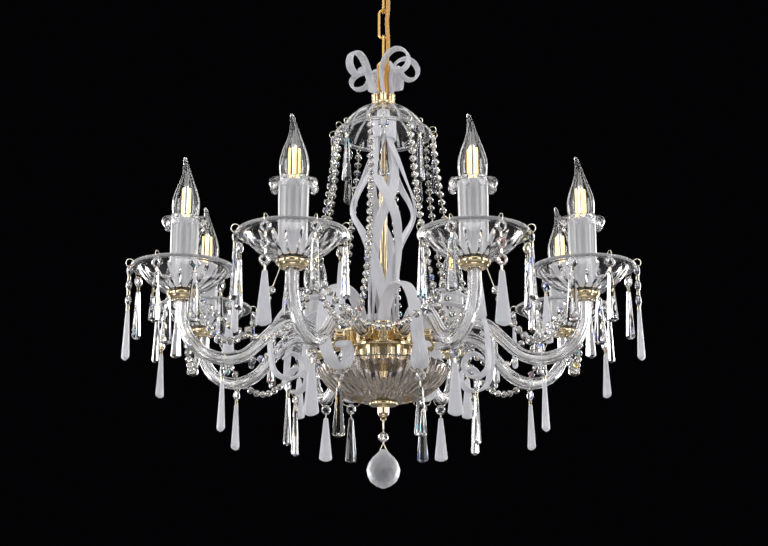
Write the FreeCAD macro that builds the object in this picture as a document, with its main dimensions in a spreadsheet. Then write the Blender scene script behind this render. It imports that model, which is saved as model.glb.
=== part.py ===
import FreeCAD, Part
import math
import os

import Sketcher
from FreeCAD import Placement, Rotation, Vector

# Eight-arm crystal chandelier. The origin is the middle of the ceiling plane and +Z is up, so every
# piece hangs at a negative height. The front of the object faces -Y. Lengths are millimetres.

SIZES = (
    # ceiling fitting
    ("plate_width", 14, "width of the ceiling strap"),
    ("plate_thick", 2, "thickness of the ceiling strap"),
    ("tab_height", 11, "height of the strap's bent ends"),
    ("screw_spacing", 50, "distance between the two ceiling screws"),
    ("screw_hole", 5, "diameter of the ceiling screw holes"),
    ("hook_wire", 4, "wire diameter of the ceiling hook"),
    ("hook_eye", 16, "centreline diameter of the hook's eye"),
    ("hook_drop", 48, "ceiling to the centre of the eye's lowest wire"),
    ("canopy_radius", 55, "outer radius of the ceiling canopy"),
    ("canopy_height", 42, "height of the canopy"),
    ("canopy_rim", 12, "height of the canopy's straight rim"),
    ("canopy_wall", 1.2, "sheet thickness of the canopy"),
    ("canopy_mouth", 30, "diameter of the hole the chain comes out of"),
    # chain, loop and cable
    ("chain_wire", 3.2, "wire diameter of a chain link"),
    ("link_width", 15, "outer width of a chain link"),
    ("link_length", 46.4, "outer length of a chain link"),
    ("link_play", 0.2, "gap where two links hang in each other"),
    ("loop_wire", 4, "wire diameter of the top loop"),
    ("loop_width", 18, "outer width of the top loop"),
    ("loop_hub_radius", 4.5, "radius of the top loop's shank"),
    ("cable_diameter", 5.5, "diameter of the supply cable"),
    # finial
    ("collar_top", 214, "ceiling to the top of the finial collar"),
    ("collar_height", 15, "height of the finial collar"),
    ("collar_radius", 18, "radius of the finial collar"),
    ("curl_cup_ring", 12.3, "radius of the ring of curl cups"),
    ("curl_cup_radius", 5.25, "outer radius of a curl cup"),
    ("curl_cup_bore", 4.3, "inner radius of a curl cup"),
    ("curl_width", 13, "width of a finial curl"),
    ("curl_foot", 6.0, "width of a curl where it stands in its cup"),
    ("curl_thick", 4, "thickness of a finial curl"),
    ("curl_height", 62, "height of a curl above the collar"),
    # dome and column
    ("dome_radius", 66.25, "radius of the top dome"),
    ("dome_drop", 42.5, "height of the top dome"),
    ("dome_wall", 3, "glass thickness of the top dome"),
    ("holder_radius", 17.5, "radius of the cup under the dome"),
    ("holder_height", 30, "height of the cup under the dome"),
    ("holder_wall", 1.1, "wall of the cup under the dome"),
    ("holder_gap", 16, "dome to the cup's shoulder"),
    ("stem_diameter", 10, "diameter of the centre tube"),
    ("stem_bore", 8, "bore of the centre tube"),
    ("fit_gap", 0.1, "radial gap of a piece threaded on the centre tube"),
    ("band_width", 13, "width of a column band"),
    ("band_foot", 9, "width of a column band at its two ends"),
    ("band_thick", 3, "thickness of a column band"),
    ("band_belly", 44.6, "radius of the column at its widest"),
    ("band_waist", 20, "radius of the column above the hub"),
    ("band_gap", 0.8, "gap between the two layers of bands"),
    # hub
    ("hub_level", 566, "ceiling to the top of the hub plate"),
    ("hub_radius", 50, "radius of the hub plate"),
    ("hub_thick", 5, "thickness of the hub plate"),
    ("heart_radius", 23, "outer radius of the cup round the column"),
    ("heart_bore", 21, "inner radius of the cup round the column"),
    ("heart_height", 28, "height of the cup round the column"),
    ("scroll_cup_ring", 40, "radius of the ring of scroll cups"),
    ("scroll_cup_radius", 11, "outer radius of a scroll cup"),
    ("scroll_cup_bore", 9, "inner radius of a scroll cup"),
    ("scroll_cup_height", 25, "height of a scroll cup"),
    ("drum_radius", 39, "radius of the wiring drum"),
    ("drum_height", 20, "height of the wiring drum"),
    ("drum_wall", 1.5, "wall of the wiring drum"),
    ("socket_width", 13, "width of an arm socket's block"),
    ("spigot_radius", 4.5, "radius of the spigot inside the arm"),
    ("ferrule_radius", 10, "outer radius of an arm ferrule"),
    ("ferrule_length", 14, "length of an arm ferrule"),
    ("ferrule_gap", 0.15, "gap between ferrule and glass arm"),
    # arms
    ("arm_count", 8, "number of arms"),
    ("arm_level", 556, "ceiling to the arm where it leaves the hub"),
    ("arm_start", 59, "radius at which the glass arm starts"),
    ("arm_radius", 8, "outer radius of the glass arm"),
    ("arm_bore", 4.8, "inner radius of the glass arm"),
    ("arm_bend", 40, "radius of the arm's first two bends"),
    ("arm_slope", 20, "degrees the arm rises before its crest"),
    ("arm_crest", 121, "radius of the arm's crest"),
    ("arm_sweep", 54.3, "radius of the arm's low bend"),
    ("arm_low", 215, "radius of the arm's lowest point"),
    # lights
    ("dish_radius", 65, "radius of a light's dish"),
    ("dish_height", 33.3, "height of a dish"),
    ("dish_wall", 4, "glass thickness of a dish"),
    ("dish_flange", 9, "width of a dish's flat rim"),
    ("dish_base", 519, "ceiling to the underside of a dish"),
    ("cup_radius", 19, "radius of the brass cup under a dish"),
    ("cup_height", 10, "height of the brass cup"),
    ("cup_socket", 5, "depth of the cup's socket for the arm"),
    ("sleeve_radius", 18, "radius of a candle sleeve at its top"),
    ("sleeve_foot", 16.5, "radius of a candle sleeve at its foot"),
    ("sleeve_height", 89.5, "height of a candle sleeve"),
    ("sleeve_wall", 1.5, "wall of a candle sleeve"),
    ("drip_radius", 30, "radius of the petal ring on a sleeve"),
    ("holder_tube", 13, "outer radius of a lampholder"),
    ("holder_bore", 7.3, "inner radius of a lampholder"),
    ("lampholder_height", 53, "height of a lampholder"),
    ("bulb_radius", 17.5, "radius of the bulb at its widest"),
    ("bulb_height", 99, "height of the bulb's glass"),
    ("bulb_neck", 6.4, "radius of the bulb's neck"),
    ("bulb_wall", 1, "glass thickness of the bulb"),
    ("cap_radius", 7, "radius of the bulb's screw cap"),
    ("cap_height", 26, "height of the bulb's screw cap"),
    ("bulb_tip", 340, "ceiling to the tip of the bulb"),
    # bowl and ball
    ("bowl_radius", 88, "radius of the bottom bowl"),
    ("bowl_rim", 593, "ceiling to the rim of the bottom bowl"),
    ("bowl_height", 44.6, "height of the bottom bowl"),
    ("bowl_wall", 5, "glass thickness of the bottom bowl"),
    ("nut_radius", 18.5, "radius of the disc under the bowl"),
    ("nut_height", 19, "height of the bottom finial"),
    ("ball_radius", 21.5, "radius of the faceted ball"),
    ("ball_middle", 727, "ceiling to the middle of the ball"),
    # scrolls, garlands and drops
    ("scroll_width", 17, "width of a frosted scroll"),
    ("scroll_thick", 4, "thickness of a frosted scroll"),
    ("pearl_radius", 5, "radius of a garland bead"),
    ("pearl_pitch", 11.5, "distance between garland beads"),
    ("pin_radius", 0.45, "radius of the brass hanging wire"),
    ("ring_radius", 5, "centreline radius of a hanging ring"),
    ("rim_hole", 1.1, "radius of a hanging hole in a glass rim"),
    ("octagon_radius", 7, "radius of an octagon bead"),
    ("octagon_thick", 6, "thickness of an octagon bead"),
    ("octagon_pitch", 19, "distance from one hanging bead to the next"),
    ("prism_length", 62, "length of a hanging prism"),
    ("prism_foot", 16, "widest part of a clear prism"),
    ("frosted_foot", 19, "widest part of a frosted prism"),
    ("prism_thick", 8, "thickness of a prism"),
)

doc = FreeCAD.newDocument("crystal_chandelier")
sheet = doc.addObject("Spreadsheet::Sheet", "sizes")
for row, (alias, number, meaning) in enumerate(SIZES, start=1):
    sheet.set("A%d" % row, meaning)
    sheet.set("B%d" % row, str(number))
    sheet.setAlias("B%d" % row, alias)
doc.recompute()


class Size(float):
    """A length that keeps the sheet formula it was worked out from."""

    def __new__(cls, value, formula):
        size = super().__new__(cls, value)
        size.formula = formula
        return size

    def joined(self, sign, other, value):
        return Size(value, "(%s %s %s)" % (self.formula, sign, formula_of(other)))

    def __add__(self, other):
        return self.joined("+", other, float(self) + float(other))

    def __sub__(self, other):
        return self.joined("-", other, float(self) - float(other))

    def __mul__(self, other):
        return self.joined("*", other, float(self) * float(other))

    def __truediv__(self, other):
        return self.joined("/", other, float(self) / float(other))

    def __neg__(self):
        return Size(-float(self), "(0 - %s)" % self.formula)

    def __radd__(self, other):
        return self + other

    def __rmul__(self, other):
        return self * other

    def __rsub__(self, other):
        return -self + other


def formula_of(number):
    if isinstance(number, Size):
        return number.formula
    return "(%.9f)" % number


def size(alias):
    return Size(float(sheet.get(alias)), "sizes.%s" % alias)


def level(alias):
    """A height below the ceiling, as a coordinate."""
    return -size(alias)


# ---------------------------------------------------------------- shared makers

finished = []


def keep(piece):
    """Notes a piece as one of the chandelier's nodes."""
    finished.append(piece)
    return piece


def bind(piece, field, value):
    setattr(piece, field, float(value))
    if isinstance(value, Size):
        piece.setExpression(field, value.formula)


def feature(label, shape, place=None):
    piece = doc.addObject("Part::Feature", label)
    piece.Shape = shape
    if place is not None:
        piece.Placement = place
    return piece


def cylinder(label, radius, height, foot, x=0.0, y=0.0):
    piece = doc.addObject("Part::Cylinder", label)
    bind(piece, "Radius", radius)
    bind(piece, "Height", height)
    piece.Placement.Base = Vector(float(x), float(y), float(foot))
    for axis, value in (("x", x), ("y", y), ("z", foot)):
        if isinstance(value, Size):
            piece.setExpression("Placement.Base.%s" % axis, value.formula)
    return piece


def box(label, extent, corner):
    piece = doc.addObject("Part::Box", label)
    for field, value in zip(("Length", "Width", "Height"), extent):
        bind(piece, field, value)
    piece.Placement.Base = Vector(*[float(value) for value in corner])
    for axis, value in zip("xyz", corner):
        if isinstance(value, Size):
            piece.setExpression("Placement.Base.%s" % axis, value.formula)
    return piece


def joined(label, pieces):
    fused = doc.addObject("Part::MultiFuse", label)
    fused.Shapes = pieces
    return fused


def cut(label, base, tool):
    piece = doc.addObject("Part::Cut", label)
    piece.Base = base
    piece.Tool = tool
    return piece


def corner_of(sketch, edge, corner):
    """Tells which end of a sketch edge lies at a corner."""
    first = sketch.getPoint(edge, 1)
    last = sketch.getPoint(edge, 2)
    return 1 if (first - corner).Length < (last - corner).Length else 2


def arc_edge(start, end, rise):
    middle = (start + end) / 2
    across = (end - start).normalize()
    left = Vector(-across.y, across.x, 0)
    return Part.Arc(start, middle + left * rise, end)


def arc_radius(start, end, rise):
    """Radius of an arc from its two ends and its rise over the chord."""
    across = end[0] - start[0]
    along = end[1] - start[1]
    chord_squared = across * across + along * along
    return chord_squared / (8 * abs(float(rise))) + abs(float(rise)) / 2


def draw_outline(sketch, outline):
    """Closed outline of (radius, height) corners. A third number bows the edge that ends there."""
    corners = [Vector(float(point[0]), float(point[1]), 0) for point in outline]
    for number, point in enumerate(outline):
        start = corners[number - 1]
        end = corners[number]
        if len(point) == 3:
            sketch.addGeometry(arc_edge(start, end, float(point[2])), False)
        else:
            sketch.addGeometry(Part.LineSegment(start, end), False)
    total = len(outline)
    for number, point in enumerate(outline):
        corner = corners[number]
        following = (number + 1) % total
        this_end = corner_of(sketch, number, corner)
        next_end = corner_of(sketch, following, corner)
        sketch.addConstraint(Sketcher.Constraint("Coincident", number, this_end, following, next_end))
        for kind, axis, value in (("DistanceX", -2, point[0]), ("DistanceY", -1, point[1])):
            if abs(float(value)) < 1e-9:
                sketch.addConstraint(Sketcher.Constraint("PointOnObject", number, this_end, axis))
                continue
            rule = sketch.addConstraint(
                Sketcher.Constraint(kind, -1, 1, number, this_end, float(value)))
            if isinstance(value, Size):
                sketch.setExpression("Constraints[%d]" % rule, value.formula)
        if len(point) == 3:
            radius = arc_radius(outline[number - 1], point, point[2])
            rule = sketch.addConstraint(Sketcher.Constraint("Radius", number, float(radius)))
            if isinstance(radius, Size):
                sketch.setExpression("Constraints[%d]" % rule, radius.formula)


def turned(label, outline):
    """A piece turned round its own upright axis from a half outline."""
    body = doc.addObject("PartDesign::Body", label)
    sketch = body.newObject("Sketcher::SketchObject", label + "_outline")
    plane = [item for item in body.Origin.OriginFeatures if item.Role == "XZ_Plane"][0]
    sketch.AttachmentSupport = (plane, [""])
    sketch.MapMode = "FlatFace"
    draw_outline(sketch, outline)
    turn = body.newObject("PartDesign::Revolution", label + "_turn")
    turn.Profile = sketch
    turn.ReferenceAxis = (sketch, ["V_Axis"])
    turn.Angle = 360
    doc.recompute()
    return body


def upright(angle, radius=0.0, height=0.0, spin=None):
    """A place at an angle round the centre, turned to face outwards unless a spin is given."""
    turn = angle if spin is None else spin
    out = Rotation(Vector(0, 0, 1), angle).multVec(Vector(radius, 0, 0))
    return Placement(out + Vector(0, 0, height), Rotation(Vector(0, 0, 1), turn))


def moved(shape, place):
    copy = shape.copy()
    copy.Placement = place.multiply(copy.Placement)
    return copy


def polar(radius, angle, height=0.0):
    turn = math.radians(angle)
    return Vector(radius * math.cos(turn), radius * math.sin(turn), height)


def ribbon(centres, width_ways, widths, thickness):
    """A band of glass along a line of centres, with its own width direction at each centre."""
    sections = []
    for number, centre in enumerate(centres):
        before = centres[max(number - 1, 0)]
        after = centres[min(number + 1, len(centres) - 1)]
        along = (after - before).normalize()
        way = width_ways[number]
        across = (way - along * way.dot(along)).normalize()
        side = across * (widths[number] / 2)
        face = along.cross(across) * (thickness / 2)
        sections.append(polygon_wire([centre + corner for corner in
                                      (side + face, face - side, -side - face, side - face)]))
    return Part.makeLoft(sections, True, False)


def smooth_points(knots, count):
    """Evenly numbered points on a smooth curve through the knots."""
    curve = Part.BSplineCurve()
    curve.interpolate(knots)
    first, last = curve.FirstParameter, curve.LastParameter
    return [curve.value(first + (last - first) * number / (count - 1)) for number in range(count)]


def even_points(points, pitch):
    """Points one pitch apart along a line of close points, centred on its length."""
    runs = [0.0]
    for before, after in zip(points, points[1:]):
        runs.append(runs[-1] + (after - before).Length)
    spaces = int(runs[-1] / pitch)
    goal = (runs[-1] - spaces * pitch) / 2
    found = []
    for number in range(1, len(points)):
        while goal <= runs[number] and len(found) <= spaces:
            share = (goal - runs[number - 1]) / (runs[number] - runs[number - 1])
            found.append(points[number - 1] + (points[number] - points[number - 1]) * share)
            goal += pitch
    return found


def rod(start, end, radius):
    return Part.makeCylinder(radius, (end - start).Length, start, end - start)


def wire_ring(radius, wire, middle, axis):
    return Part.makeTorus(radius, wire, middle, axis)


def oval_link(length, width, wire):
    """A welded link standing in the XZ plane, its top end at the origin. Sizes are outer ones."""
    bend = (width - wire) / 2
    top = Vector(0, 0, -wire / 2 - bend)
    low = Vector(0, 0, wire / 2 + bend - length)
    pieces = []
    for middle, turn in ((top, 1), (low, -1)):
        section = Part.Face(Part.Wire(Part.Circle(middle + Vector(-bend, 0, 0), UP, wire / 2).toShape()))
        pieces.append(section.revolve(middle, Vector(0, turn, 0), 180))
        pieces.append(rod(top + Vector(turn * bend, 0, 0), low + Vector(turn * bend, 0, 0), wire / 2))
    return pieces[0].multiFuse(pieces[1:]).removeSplitter()


def cord_path(points, share=0.45):
    """Straight runs joined by the largest tangent arcs. Returns the wire and the arcs' radii."""
    edges = []
    radii = []
    start = points[0]
    for before, corner, after in zip(points, points[1:], points[2:]):
        inward = corner - before
        outward = after - corner
        reach = share * min(inward.Length, outward.Length)
        inward.normalize()
        outward.normalize()
        half_turn = math.acos(max(-1.0, min(1.0, inward.dot(outward)))) / 2
        radius = reach / math.tan(half_turn)
        radii.append(radius)
        enter = corner - inward * reach
        leave = corner + outward * reach
        towards = (outward - inward).normalize()
        middle = corner + towards * (radius / math.cos(half_turn) - radius)
        edges.append(Part.LineSegment(start, enter).toShape())
        edges.append(Part.Arc(enter, middle, leave).toShape())
        start = leave
    edges.append(Part.LineSegment(start, points[-1]).toShape())
    return Part.Wire(edges), radii


def swept(path, radius):
    start = path.Vertexes[0].Point
    along = path.Edges[0].tangentAt(path.Edges[0].FirstParameter)
    circle = Part.Wire(Part.Circle(start, along, radius).toShape())
    return path.makePipeShell([circle], True, False)


def polygon_wire(corners):
    return Part.makePolygon(corners + corners[:1])


def faceted(sections):
    """A cut-glass solid through flat outlines with straight edges."""
    return Part.makeLoft([polygon_wire(section) for section in sections], True, True)


# ---------------------------------------------------------------- shared places

ARM_COUNT = int(size("arm_count"))
STEP_ANGLE = 360.0 / ARM_COUNT
FRONT = -90.0
arm_angles = [FRONT + STEP_ANGLE / 2 + STEP_ANGLE * number for number in range(ARM_COUNT)]
gap_angles = [angle - STEP_ANGLE / 2 for angle in arm_angles]
stem_hole = size("stem_diameter") / 2 + size("fit_gap")
candle_ring = size("arm_low") + size("arm_sweep")
UP = Vector(0, 0, 1)


# ---------------------------------------------------------------- ceiling fitting

def ceiling_plate():
    half_length = size("canopy_radius") - size("canopy_wall") - 0.7
    width = size("plate_width")
    thick = size("plate_thick")
    tab = size("tab_height")
    strap = box("strap", (2 * half_length, width, thick), (-half_length, -width / 2, -thick))
    left = box("left_tab", (thick, width, tab), (-half_length, -width / 2, -tab))
    right = box("right_tab", (thick, width, tab), (half_length - thick, -width / 2, -tab))
    holes = []
    for side in (-1, 1):
        place = size("screw_spacing") / 2 * side
        holes.append(cylinder("plate_hole", size("screw_hole") / 2, thick * 3, thick * -2, x=place))
    for side in (-1, 1):
        bore = doc.addObject("Part::Cylinder", "tab_hole")
        bore.Radius = CANOPY_SCREW_RADIUS + 0.1
        bore.Height = 8
        start = half_length - 4 if side > 0 else -half_length - 4
        bore.Placement = Placement(Vector(float(start), 0, CANOPY_SCREW_LEVEL), Rotation(Vector(0, 1, 0), 90))
        bore.setExpression("Placement.Base.x", start.formula)
        holes.append(bore)
    return cut("ceiling_plate", joined("strap_blank", [strap, left, right]), joined("plate_holes", holes))


CANOPY_SCREW_RADIUS = 1.95
CANOPY_SCREW_LEVEL = -6.5


def canopy_screws():
    """Two screws through the canopy's rim into the strap's ends."""
    rim = float(size("canopy_radius"))
    solids = []
    for side in (-1, 1):
        out = Vector(side, 0, 0)
        seat = out * (rim + 0.1) + Vector(0, 0, CANOPY_SCREW_LEVEL)
        shank = rod(seat - out * 8, seat, CANOPY_SCREW_RADIUS)
        head = rod(seat, seat + out * 2.4, 3.6)
        slot = Part.makeBox(1.2, 8, 0.9, Vector(-0.6, -4, -0.45))
        slot.translate(seat + out * 2.4)
        solids.append(shank.fuse(head).cut(slot).removeSplitter())
    return feature("canopy_screws", Part.Compound(solids))


def ceiling_canopy():
    radius = size("canopy_radius")
    wall = size("canopy_wall")
    height = size("canopy_height")
    rim = size("canopy_rim")
    mouth = size("canopy_mouth") / 2
    shell = turned("canopy_shell", (
        (radius, 0),
        (radius, -rim),
        (mouth + 3, -height, 9),
        (mouth, -height),
        (mouth, wall - height),
        (mouth + 3, wall - height),
        (radius - wall, -rim, -9),
        (radius - wall, 0),
    ))
    bore = doc.addObject("Part::Cylinder", "canopy_bore")
    bore.Radius = CANOPY_SCREW_RADIUS + 0.2
    bore.Height = 4 * float(radius)
    bore.Placement = Placement(Vector(-2 * float(radius), 0, CANOPY_SCREW_LEVEL), Rotation(Vector(0, 1, 0), 90))
    return cut("ceiling_canopy", shell, bore)


def ceiling_hook():
    """A shank welded under the strap with a closed eye across the front."""
    wire = float(size("hook_wire")) / 2
    eye = float(size("hook_eye")) / 2
    middle = Vector(0, 0, eye - float(size("hook_drop")))
    top = Vector(0, 0, -float(size("plate_thick")))
    ring = wire_ring(eye, wire, middle, Vector(0, 1, 0))
    shank = rod(top, middle + Vector(0, 0, eye), 2.5)
    collar = rod(top, top - Vector(0, 0, 5), 5)
    return feature("ceiling_hook", ring.multiFuse([shank, collar]).removeSplitter())


TERMINAL = (13, -19, -16)
TERMINAL_EXTENT = (16, 14.6, 12)
TERMINAL_BORE_PITCH = 4.2
CABLE_START = Vector(20.0, -8.0, -10.0)
CABLE_BEND = Vector(15.5, -8.2, -26.0)


def terminal_block():
    """A three-way connector beside the strap. The cable enters a bore in its underside."""
    blank = box("terminal_blank", TERMINAL_EXTENT, TERMINAL)
    bores = []
    for number in range(3):
        bores.append(cylinder("terminal_bore", 1.6, TERMINAL_EXTENT[2] * 2, TERMINAL[2] + 4,
                              x=TERMINAL[0] + 13, y=TERMINAL[1] + 2.6 + TERMINAL_BORE_PITCH * number))
    entry = doc.addObject("Part::Cylinder", "cable_entry")
    entry.Radius = float(size("cable_diameter")) / 2 + 0.1
    entry.Height = 14
    entry.Placement = Placement(CABLE_START, Rotation(UP, CABLE_BEND - CABLE_START))
    bores.append(entry)
    return cut("terminal_block", blank, joined("terminal_bores", bores))


# ---------------------------------------------------------------- chain, top loop, cable

link_inside = size("link_length") - 2 * size("chain_wire") - size("link_play")


def chain_places():
    """Heights of the tops of the three links and of the top loop, from the hook down."""
    first = float(size("hook_wire")) / 2 + float(size("chain_wire")) + float(size("link_play")) - float(size("hook_drop"))
    pitch = float(link_inside)
    tops = [first - pitch * number for number in range(3)]
    low_wire = tops[2] - float(size("link_length")) + float(size("chain_wire")) / 2
    loop_top = low_wire + float(size("chain_wire")) / 2 + float(size("loop_wire")) + float(size("link_play"))
    return tops, loop_top


def chain_links():
    tops, loop_top = chain_places()
    link = oval_link(float(size("link_length")), float(size("link_width")), float(size("chain_wire")))
    for number, top in enumerate(tops):
        across = number % 2 == 0
        place = Placement(Vector(0, 0, top), Rotation(UP, 90 if across else 0))
        keep(feature("chain_link_%d" % (number + 1), link, place))
    collar_top = float(level("collar_top"))
    eye = oval_link(loop_top - collar_top - 6, float(size("loop_width")), float(size("loop_wire")))
    eye.translate(Vector(0, 0, loop_top))
    hub = float(size("loop_hub_radius"))
    shank = rod(Vector(0, 0, collar_top), Vector(0, 0, collar_top + 9), hub)
    keep(feature("top_loop", eye.fuse(shank).removeSplitter()))


def supply_cable():
    """Leaves the terminal block, passes the canopy's mouth, leans on the chain and ends in the collar."""
    collar_top = float(level("collar_top"))
    route = [
        CABLE_START,
        CABLE_BEND,
        Vector(7.6, -7.2, -44.0),
        Vector(6.4, -7.4, -64.0),
        Vector(6.6, -7.0, -86.0),
        Vector(4.6, -8.2, -106.0),
        Vector(6.2, -8.4, -126.0),
        Vector(6.6, -7.2, -146.0),
        Vector(4.4, -7.0, -168.0),
        Vector(3.65, -6.35, -190.0),
        Vector(3.65, -6.35, collar_top),
    ]
    path, radii = cord_path(route)
    radius = float(size("cable_diameter")) / 2
    tube = swept(path, radius)
    share = tube.Volume / (path.Length * math.pi * radius * radius)
    print("supply cable: length %.1f mm, volume over section times length %.5f" % (path.Length, share))
    print("supply cable: arc radii", ["%.0f" % value for value in radii])
    return feature("supply_cable", tube)


# ---------------------------------------------------------------- finial

# Each curl: angle of its cup, direction in which it curls, height share, lean to its outer side.
CURLS = (
    (-90.0, -20.0, 1.0, 6.0),
    (-30.0, 20.0, 0.93, 2.0),
    (30.0, 75.0, 0.9, 2.0),
    (90.0, 120.0, 0.85, 2.0),
    (150.0, 160.0, 0.72, 6.0),
    (-150.0, -130.0, 0.98, 14.0),
)


def finial_collar():
    top = level("collar_top")
    height = size("collar_height")
    radius = size("collar_radius")
    base = turned("collar_base", (
        (stem_hole, top - height),
        (radius, top - height),
        (radius, top - height + 3),
        (radius - 2, top - height + 5),
        (8.2, top - height + 5),
        (8.2, top),
        (stem_hole, top),
    ))
    cups = []
    bores = []
    for angle, *_ in CURLS:
        spot = polar(float(size("curl_cup_ring")), angle)
        cups.append(cylinder("curl_cup", size("curl_cup_radius"), height - 4, top - height + 4, spot.x, spot.y))
        bores.append(cylinder("curl_bore", size("curl_cup_bore"), height, top - height + 5, spot.x, spot.y))
    return cut("finial_collar", joined("collar_blank", [base] + cups), joined("curl_bores", bores))


def curl_line(share, lean):
    """Centre line of a curl: run along its own direction, lean to its outer side, height."""
    rise = float(size("curl_height")) / 62.0 * share
    foot = 6.2 - float(size("collar_height"))
    return [
        Vector(0, 0, foot),
        Vector(0, 0, foot / 2),
        Vector(0, 0, 0.5),
        Vector(-0.05, lean * 0.03, 3.5),
        Vector(-0.8, lean * 0.35, 12 * rise),
        Vector(-1.5, lean * 0.8, 26 * rise),
        Vector(1.5, lean, 42 * rise),
        Vector(9, lean, 54 * rise),
        Vector(20, lean, 60 * rise),
        Vector(32, lean, 56 * rise),
        Vector(38.5, lean, 44 * rise),
        Vector(35, lean, 31.5 * rise),
        Vector(25, lean, 27 * rise),
        Vector(16, lean, 32 * rise),
        Vector(13, lean, 42 * rise),
    ]


def finial_curls():
    """Six frosted ribbons that stand in the collar's cups and curl over."""
    width = float(size("curl_width"))
    foot = float(size("curl_foot"))
    solids = []
    for angle, direction, share, lean in CURLS:
        base = polar(float(size("curl_cup_ring")), angle, float(level("collar_top")))
        along = polar(1, direction)
        outer = polar(1, direction - 90)
        line = smooth_points(curl_line(share, lean), 30)
        centres = [base + along * spot.x + outer * spot.y + UP * spot.z for spot in line]
        widths = []
        widest = 0.0
        for spot in line:
            widest = max(widest, spot.z)
            widths.append(foot + (width - foot) * min(1.0, max(0.0, widest / 34.0)))
        solids.append(ribbon(centres, [outer] * len(centres), widths, float(size("curl_thick"))))
    return feature("finial_curls", Part.Compound(solids))


# ---------------------------------------------------------------- dome and column

dome_top = level("collar_top") - size("collar_height")
HOLE_INSET = 2.8


def rim_holes(label, ring, angles, low, high):
    holes = []
    for angle in angles:
        spot = polar(ring, angle)
        holes.append(cylinder(label, size("rim_hole"), high - low, low, spot.x, spot.y))
    return joined(label + "s", holes)


def dome_prism_angles():
    return list(gap_angles)


STRAND_LEAD = 8.0


def dome_strand_angles():
    return [angle + STRAND_LEAD for angle in arm_angles]


def top_dome():
    radius = size("dome_radius")
    wall = size("dome_wall")
    rim = dome_top - size("dome_drop")
    shell = turned("dome_shell", (
        (stem_hole, dome_top - wall),
        (stem_hole, dome_top),
        (12, dome_top),
        (radius - 8, rim + wall, 9),
        (radius, rim + wall),
        (radius, rim),
        (radius - 9, rim),
        (12, dome_top - wall, -9),
    ))
    angles = dome_prism_angles() + dome_strand_angles()
    holes = rim_holes("dome_hole", float(radius) - HOLE_INSET, angles, rim - 2, rim + wall + 2)
    return cut("top_dome", shell, holes)


def ribbon_holder():
    top = dome_top - size("dome_wall")
    shoulder = top - size("holder_gap")
    radius = size("holder_radius")
    foot = shoulder - size("holder_height")
    return turned("ribbon_holder", (
        (stem_hole, top),
        (9, top),
        (9, shoulder),
        (radius, shoulder),
        (radius, foot),
        (radius - size("holder_wall"), foot),
        (radius - size("holder_wall"), shoulder - 3),
        (stem_hole, shoulder - 3),
    ))


def center_stem():
    foot = level("bowl_rim") - size("bowl_height") - 10
    height = level("collar_top") - foot
    outer = cylinder("stem_outer", size("stem_diameter") / 2, height, foot)
    inner = cylinder("stem_inner", size("stem_bore") / 2, height + 2, foot - 1)
    return cut("center_stem", outer, inner)


def column_outline():
    """Outer radius of the band column at heights below the ceiling, from cup to cup."""
    belly = float(size("band_belly"))
    waist = float(size("band_waist"))
    head = float(size("holder_radius")) - float(size("holder_wall")) - 1.7
    top = float(dome_top - size("dome_wall") - size("holder_gap")) - 4.4
    foot = float(level("hub_level")) + 1.4
    return [
        Vector(head, 0, top),
        Vector(head, 0, top - 13),
        Vector(head + 0.2, 0, top - 26),
        Vector(head + 5.0, 0, top - 42),
        Vector(belly * 0.6, 0, top - 64),
        Vector(belly * 0.78, 0, top - 91),
        Vector(belly, 0, top - 122),
        Vector(belly * 0.965, 0, top - 141),
        Vector(belly * 0.76, 0, top - 164),
        Vector(belly * 0.6, 0, top - 189),
        Vector(waist + 1.2, 0, top - 214),
        Vector(waist, 0, top - 250),
        Vector(waist, 0, foot + 26),
        Vector(waist, 0, foot),
    ]


BAND_COUNT = 4
BAND_TWIST = 200.0


def column_bands(label, inner, twist, lead):
    """One layer of frosted bands that wind round the centre tube."""
    width = float(size("band_width"))
    foot = float(size("band_foot"))
    thick = float(size("band_thick"))
    outline = smooth_points(column_outline(), 34)
    solids = []
    for band in range(BAND_COUNT):
        centres = []
        ways = []
        widths = []
        for number, spot in enumerate(outline):
            share = number / (len(outline) - 1)
            ends = min(share, 1 - share)
            band_width = foot + (width - foot) * min(1.0, ends * 5)
            face = spot.x
            if inner:
                face = math.sqrt((face - thick - float(size("band_gap"))) ** 2 - (band_width / 2) ** 2)
            angle = lead + 360.0 / BAND_COUNT * band + twist * share
            centres.append(polar(face - thick / 2, angle, spot.z))
            ways.append(polar(1, angle + 90))
            widths.append(band_width)
        solids.append(ribbon(centres, ways, widths, thick))
    return feature(label, Part.Compound(solids))


# ---------------------------------------------------------------- hub

hub_top = level("hub_level")
hub_foot = hub_top - size("hub_thick")


def hub_plate():
    """The plate that carries the arms, with the cup round the column."""
    return turned("hub_plate", (
        (stem_hole, hub_foot),
        (size("hub_radius"), hub_foot),
        (size("hub_radius"), hub_top),
        (size("heart_radius"), hub_top),
        (size("heart_radius"), hub_top + size("heart_height")),
        (size("heart_bore"), hub_top + size("heart_height")),
        (size("heart_bore"), hub_top),
        (stem_hole, hub_top),
    ))


def hub_drum():
    """The covered box under the plate where the arms' wires meet."""
    radius = size("drum_radius")
    wall = size("drum_wall")
    foot = hub_foot - size("drum_height")
    return turned("hub_drum", (
        (stem_hole, foot),
        (radius - 3, foot),
        (radius, foot + 3),
        (radius, hub_foot),
        (radius - wall, hub_foot),
        (radius - wall, foot + 3 + wall),
        (radius - 3 - wall, foot + wall),
        (stem_hole, foot + wall),
    ))


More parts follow.
